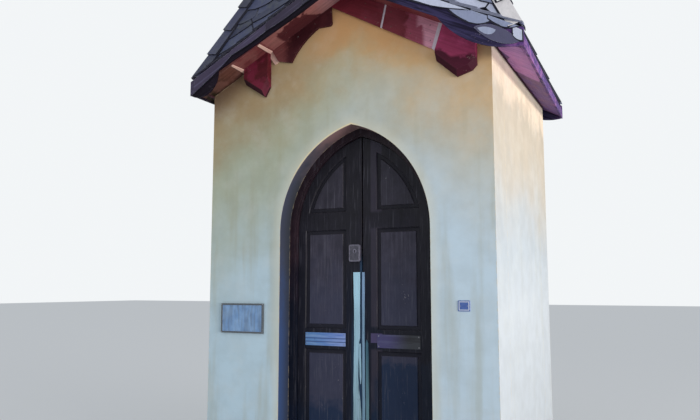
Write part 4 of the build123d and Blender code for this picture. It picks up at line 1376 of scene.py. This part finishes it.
# Magenta patch boards: painted highlight of sky light on the soffit.
patch_boards = oxblood("magenta_patch_boards", paint(170, 120, 182), [(1.30, 1.40, paint(146, 104, 168))],
                       paint(186, 126, 180), 0.5, 3.3)
settle(bm, "right_soffit_patches", "red_boards", patch_boards)

bm = bmesh.new()
batten = [(-0.001, -0.002), (0.016, -0.002), (0.013, 0.009), (-0.001, 0.012)]
for wall, side in ((WALL_RIGHT, 1), (WALL_LEFT, -1)):
    section = [(wall + side * out, drop) for out, drop in batten]
    ends = (0.002 - ROOF_Y, WALL_BACK - 0.001)
    closed_body(bm, [[under_soffit(*point, y) for point in section] for y in ends])
wall_battens = oxblood("dark_wall_battens", paint(44, 26, 26), [(0.0, 0.2, paint(60, 22, 44))],
                       paint(84, 40, 62), 0.3, 8.8)
settle(bm, "eave_wall_battens", "red_boards", wall_battens)

# %% [markdown]
# ## Cover strips
# The strips that close the meeting of the leaves are old laths. The left one is sound above and
# split below, where a wedge of it has gone and a splinter hangs in the gap. The right one has a
# second, teal lath beside it from the middle rail down. Each lath is drawn by the height, left
# edge and right edge of a few rows and stands on the leaf that carries it.

# %% Split laths in the place of the measured strips
LEAF_FACE = -0.770


def lath(bm, rng, rows, thick, wobble=0.0008, bevel=0.0012):
    """A lath from rows of height, left edge and right edge, with a point about every 50 mm."""
    left, right = [], []
    for row, below in zip(rows, rows[1:]):
        steps = max(1, round((row[0] - below[0]) / 0.05))
        for i in range(steps):
            z, a, b = (start + (end - start) * (i / steps) for start, end in zip(row, below))
            left.append((a + rng.uniform(-wobble, wobble), z))
            right.append((b + rng.uniform(-wobble, wobble), z))
    z, a, b = rows[-1]
    outline = left + [(a, z), (b, z)] + right[::-1]
    middle = sum(x for x, z in outline) / len(outline)
    narrowed = [(x + (bevel if x < middle else -bevel), z) for x, z in outline]
    face = LEAF_FACE - thick
    stacked(bm, [(outline, LEAF_FACE), (outline, face + bevel), (narrowed, face)])


low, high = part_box("left_leaf_strip")
top, foot = high.z, low.z
rng = random.Random(5)
bm = bmesh.new()
sound = [(top, -0.074, -0.016), (1.55, -0.070, -0.017), (1.40, -0.067, -0.017), (1.20, -0.066, -0.017)]
sound += [(1.165, -0.067, -0.026), (0.905, -0.072, -0.035), (0.80, -0.074, -0.028)]
lath(bm, rng, sound + [(0.69, -0.073, -0.012), (0.60, -0.074, -0.006), (foot, -0.074, -0.003)], 0.008)
splinter = [(1.158, -0.023, -0.012), (1.00, -0.024, -0.007), (0.90, -0.021, -0.006), (0.845, -0.012, -0.009)]
lath(bm, rng, splinter, 0.005)
left_laths = settle(bm, "left_leaf_laths", "pale_strip", pale_lath, body="left_leaf")
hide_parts("left_leaf_strip")
bm = bmesh.new()
right_rows = [(top, 0.005, 0.025), (1.20, 0.003, 0.023), (0.95, 0.004, 0.025), (0.70, 0.004, 0.027)]
lath(bm, rng, right_rows + [(foot, 0.004, 0.028)], 0.008)
right_laths = settle(bm, "right_leaf_laths", "pale_strip", blue_lath, body="right_leaf")
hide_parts("right_leaf_strip")
bm = bmesh.new()
teal_rows = [(1.19, 0.040, 0.043), (1.16, 0.034, 0.055), (0.85, 0.034, 0.060), (0.60, 0.035, 0.058)]
lath(bm, rng, teal_rows + [(foot, 0.035, 0.060)], 0.006)
settle(bm, "right_leaf_teal_lath", "pale_strip", teal_lath, body="right_leaf")

# %% [markdown]
# ## Small fixings
# Screws hold the plates, nails hold the boards. Each head is a low dome of a few rings, joined
# with its neighbours into one mesh, and sunk half a millimetre so that no gap shows. The lock
# is a cast case with a raised rim, screwed on over the end of its latch.

# %% A low domed head, and rows of them
FRONT = Vector((0, -1, 0))


def round_points(sides, radius, x=0.0, z=0.0):
    angles = [2 * pi * i / sides for i in range(sides)]
    return [(x + radius * cos(angle), z + radius * sin(angle)) for angle in angles]


def head_at(bm, centre, out, radius, rise, sides=10):
    first = out.orthogonal().normalized()
    second = out.cross(first)
    rings = []
    for share, lift in ((1.0, -0.0005), (1.0, rise * 0.35), (0.8, rise * 0.75), (0.35, rise)):
        points = round_points(sides, radius * share)
        rings.append([centre + first * a + second * b + out * lift for a, b in points])
    closed_body(bm, rings)


def corner_heads(node, name, slot, inset, radius, rise, heights=(0, 1), body="chapel"):
    """Screws in a plate: a pair at each height, which is a share of the way from its foot to its top."""
    low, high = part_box(node)
    bm = bmesh.new()
    for share in heights:
        z = low.z + inset + (high.z - low.z - 2 * inset) * share
        for x in (low.x + inset, high.x - inset):
            head_at(bm, Vector((x, low.y, z)), FRONT, radius, rise)
    return settle(bm, name, slot, screw_metal, body=body)


# %% The lock: a cast case with a raised rim, a round escutcheon and a keyhole
lock_low, lock_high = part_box("door_lock")
case_left, case_right, case_foot, case_top = lock_low.x + 0.003, lock_high.x + 0.002, 1.808, 1.946
key_x, key_z = -0.052, 1.892
LEAF_SURFACE = lock_high.y


def case_line(inset, radius, steps=5):
    """The outline of the case with rounded corners, drawn in by the inset."""
    grow = inset + radius
    left, right, foot, top = case_left + grow, case_right - grow, case_foot + grow, case_top - grow
    points = []
    for turn, (x, z) in enumerate(((right, top), (left, top), (left, foot), (right, foot))):
        for i in range(steps + 1):
            angle = (turn + i / steps) * pi / 2
            points.append((x + radius * cos(angle), z + radius * sin(angle)))
    return points


def lock_layers(bm, layers, side_index, cap_index):
    """Stacks outlines that are given with the height of each over the leaf."""
    stacked(bm, [(outline, LEAF_SURFACE - height) for outline, height in layers], side_index, cap_index)


bm = bmesh.new()
body_line, edge_line, inner_line = case_line(0.0, 0.014), case_line(0.002, 0.012), case_line(0.010, 0.008)
lock_layers(bm, [(body_line, 0.0), (body_line, 0.023), (edge_line, 0.026), (inner_line, 0.0262)], 1, 0)
lock_layers(bm, [(inner_line, 0.0255), (inner_line, 0.0268)], 0, 0)
wide, narrow = round_points(20, 0.017, key_x, key_z), round_points(20, 0.014, key_x, key_z)
lock_layers(bm, [(wide, 0.0262), (wide, 0.0285), (narrow, 0.0295)], 1, 1)
bow_angles = [radians(-50 + 280 * i / 12) for i in range(13)]
keyhole = [(key_x + 0.0055 * cos(a), key_z + 0.003 + 0.0055 * sin(a)) for a in bow_angles]
keyhole += [(key_x - 0.0040, key_z - 0.012), (key_x + 0.0040, key_z - 0.012)]
lock_layers(bm, [(keyhole, 0.0290), (keyhole, 0.0298)], 2, 2)
screw_in = 0.017
screw_columns = (case_left + screw_in, case_right - screw_in)
for z, x in product((case_foot + screw_in, case_top - screw_in), screw_columns):
    head_at(bm, Vector((x, LEAF_SURFACE - 0.0266, z)), FRONT, 0.0045, 0.0018)
finishes = (lock_metal, lock_rim_metal, keyhole_black)
lock_case = settle(bm, "cast_lock_case", "lock_grey", *finishes, body="left_leaf")
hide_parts("door_lock")

# %% Nails along the friezes, front and back
right_nails = ("right_friezes", (0.14, 0.36, 0.52, 0.68), (0.045, 0.165))
left_nails = ("left_friezes", (-0.64, -0.48, -0.32, -0.17), (0.045,))
for node, reaches, drops in (right_nails, left_nails):
    low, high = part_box(node)
    bm = bmesh.new()
    for face, out in ((low.y, FRONT), (high.y, -FRONT)):
        for reach, drop in product(reaches, drops):
            head_at(bm, under_soffit(reach, drop, face), out, 0.0045, 0.0016, 8)
    settle(bm, node[:-1] + "_nails", "red_boards", nail_metal)

# %% Screws in the rail plates
rail_screws = (0.012, 0.0045, 0.0018)
corner_heads("left_leaf_plate", "left_plate_screws", "blue_plate", *rail_screws, body="left_leaf")
corner_heads("right_leaf_plate", "right_plate_screws", "purple_plate", *rail_screws, body="right_leaf")

# %% [markdown]
# ## Information board and number plate
# What is written on them is left bare. The board is a sheet of weathered grey metal in a raised
# rim, the plate blue enamel with a pale edge. Both are screwed to the wall.

# %% Weathered blank board and enamelled plate
def from_edge(finish, low, high):
    """How far a point of a flat plate is from the nearest of its four edges."""
    x, y, z = finish.xyz()
    sideways = (high.x - low.x) / 2 - abs(x - (low.x + high.x) / 2)
    upwards = (high.z - low.z) / 2 - abs(z - (low.z + high.z) / 2)
    return calc("MINIMUM", sideways, upwards)


low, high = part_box("info_board")
board_finish = Finish("weathered_blank_board", roughness=0.5, specular=0.45)
board_finish.colour = tint(board_finish.clouds(0.10, 1.0), paint(110, 146, 192), paint(138, 172, 212))
board_finish.lay(board_finish.runs(0.02, 0.15, 5.0, 0.4), paint(92, 98, 104), 0.35)
board_finish.lay(fade(from_edge(board_finish, low, high), 0.0145, 0.0135), paint(84, 90, 96))
board_finish.wear(0.003, 70.0, paint(178, 184, 188), 0.7)
board_finish.close(noise(board_finish.position, 40.0), 0.0010)
dress(board_finish, "info_board")
corner_heads("info_board", "info_board_screws", "board_paint", 0.007, 0.0042, 0.002)

low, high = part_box("number_plate")
enamel = Finish("number_plate_enamel", roughness=0.25, specular=0.5)
enamel.colour = tint(enamel.clouds(0.03, 3.0) * 0.4, paint(64, 92, 160), paint(95, 124, 188))
edge = from_edge(enamel, low, high)
enamel.lay(fade(edge, 0.0065, 0.0075) * fade(edge, 0.0125, 0.0115), paint(214, 220, 230))
enamel.lay(enamel.chipped(0.006, 0.24, 2.0), paint(60, 50, 50))
enamel.close(noise(enamel.position, 90.0), 0.0005)
dress(enamel, "number_plate")
corner_heads("number_plate", "number_plate_screws", "number_paint", 0.0175, 0.003, 0.0015, heights=(0.5,))

# %% [markdown]
# ## Floor
# The floor is one large plain sheet of pale grey, so the chapel keeps its own shadow and the
# ground fades into the background.

# %% Pale floor
floor_mesh = bpy.data.meshes.new("studio_floor")
bm = bmesh.new()
bmesh.ops.create_grid(bm, x_segments=1, y_segments=1, size=60.0)
bm.to_mesh(floor_mesh)
bm.free()
floor = bpy.data.objects.new("studio_floor", floor_mesh)
bpy.context.scene.collection.objects.link(floor)
floor_finish = Finish("pale_floor", roughness=1.0, specular=0.0)
floor_finish.colour = (0.76, 0.78, 0.80, 1.0)
floor_mesh.materials.append(floor_finish.close().material)
floor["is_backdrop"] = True

# %% Both boxes, the measured one and the visual one
size = {"cad": cad_box, "visual": [list(corner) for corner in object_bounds()]}
print("visual box", size["visual"])
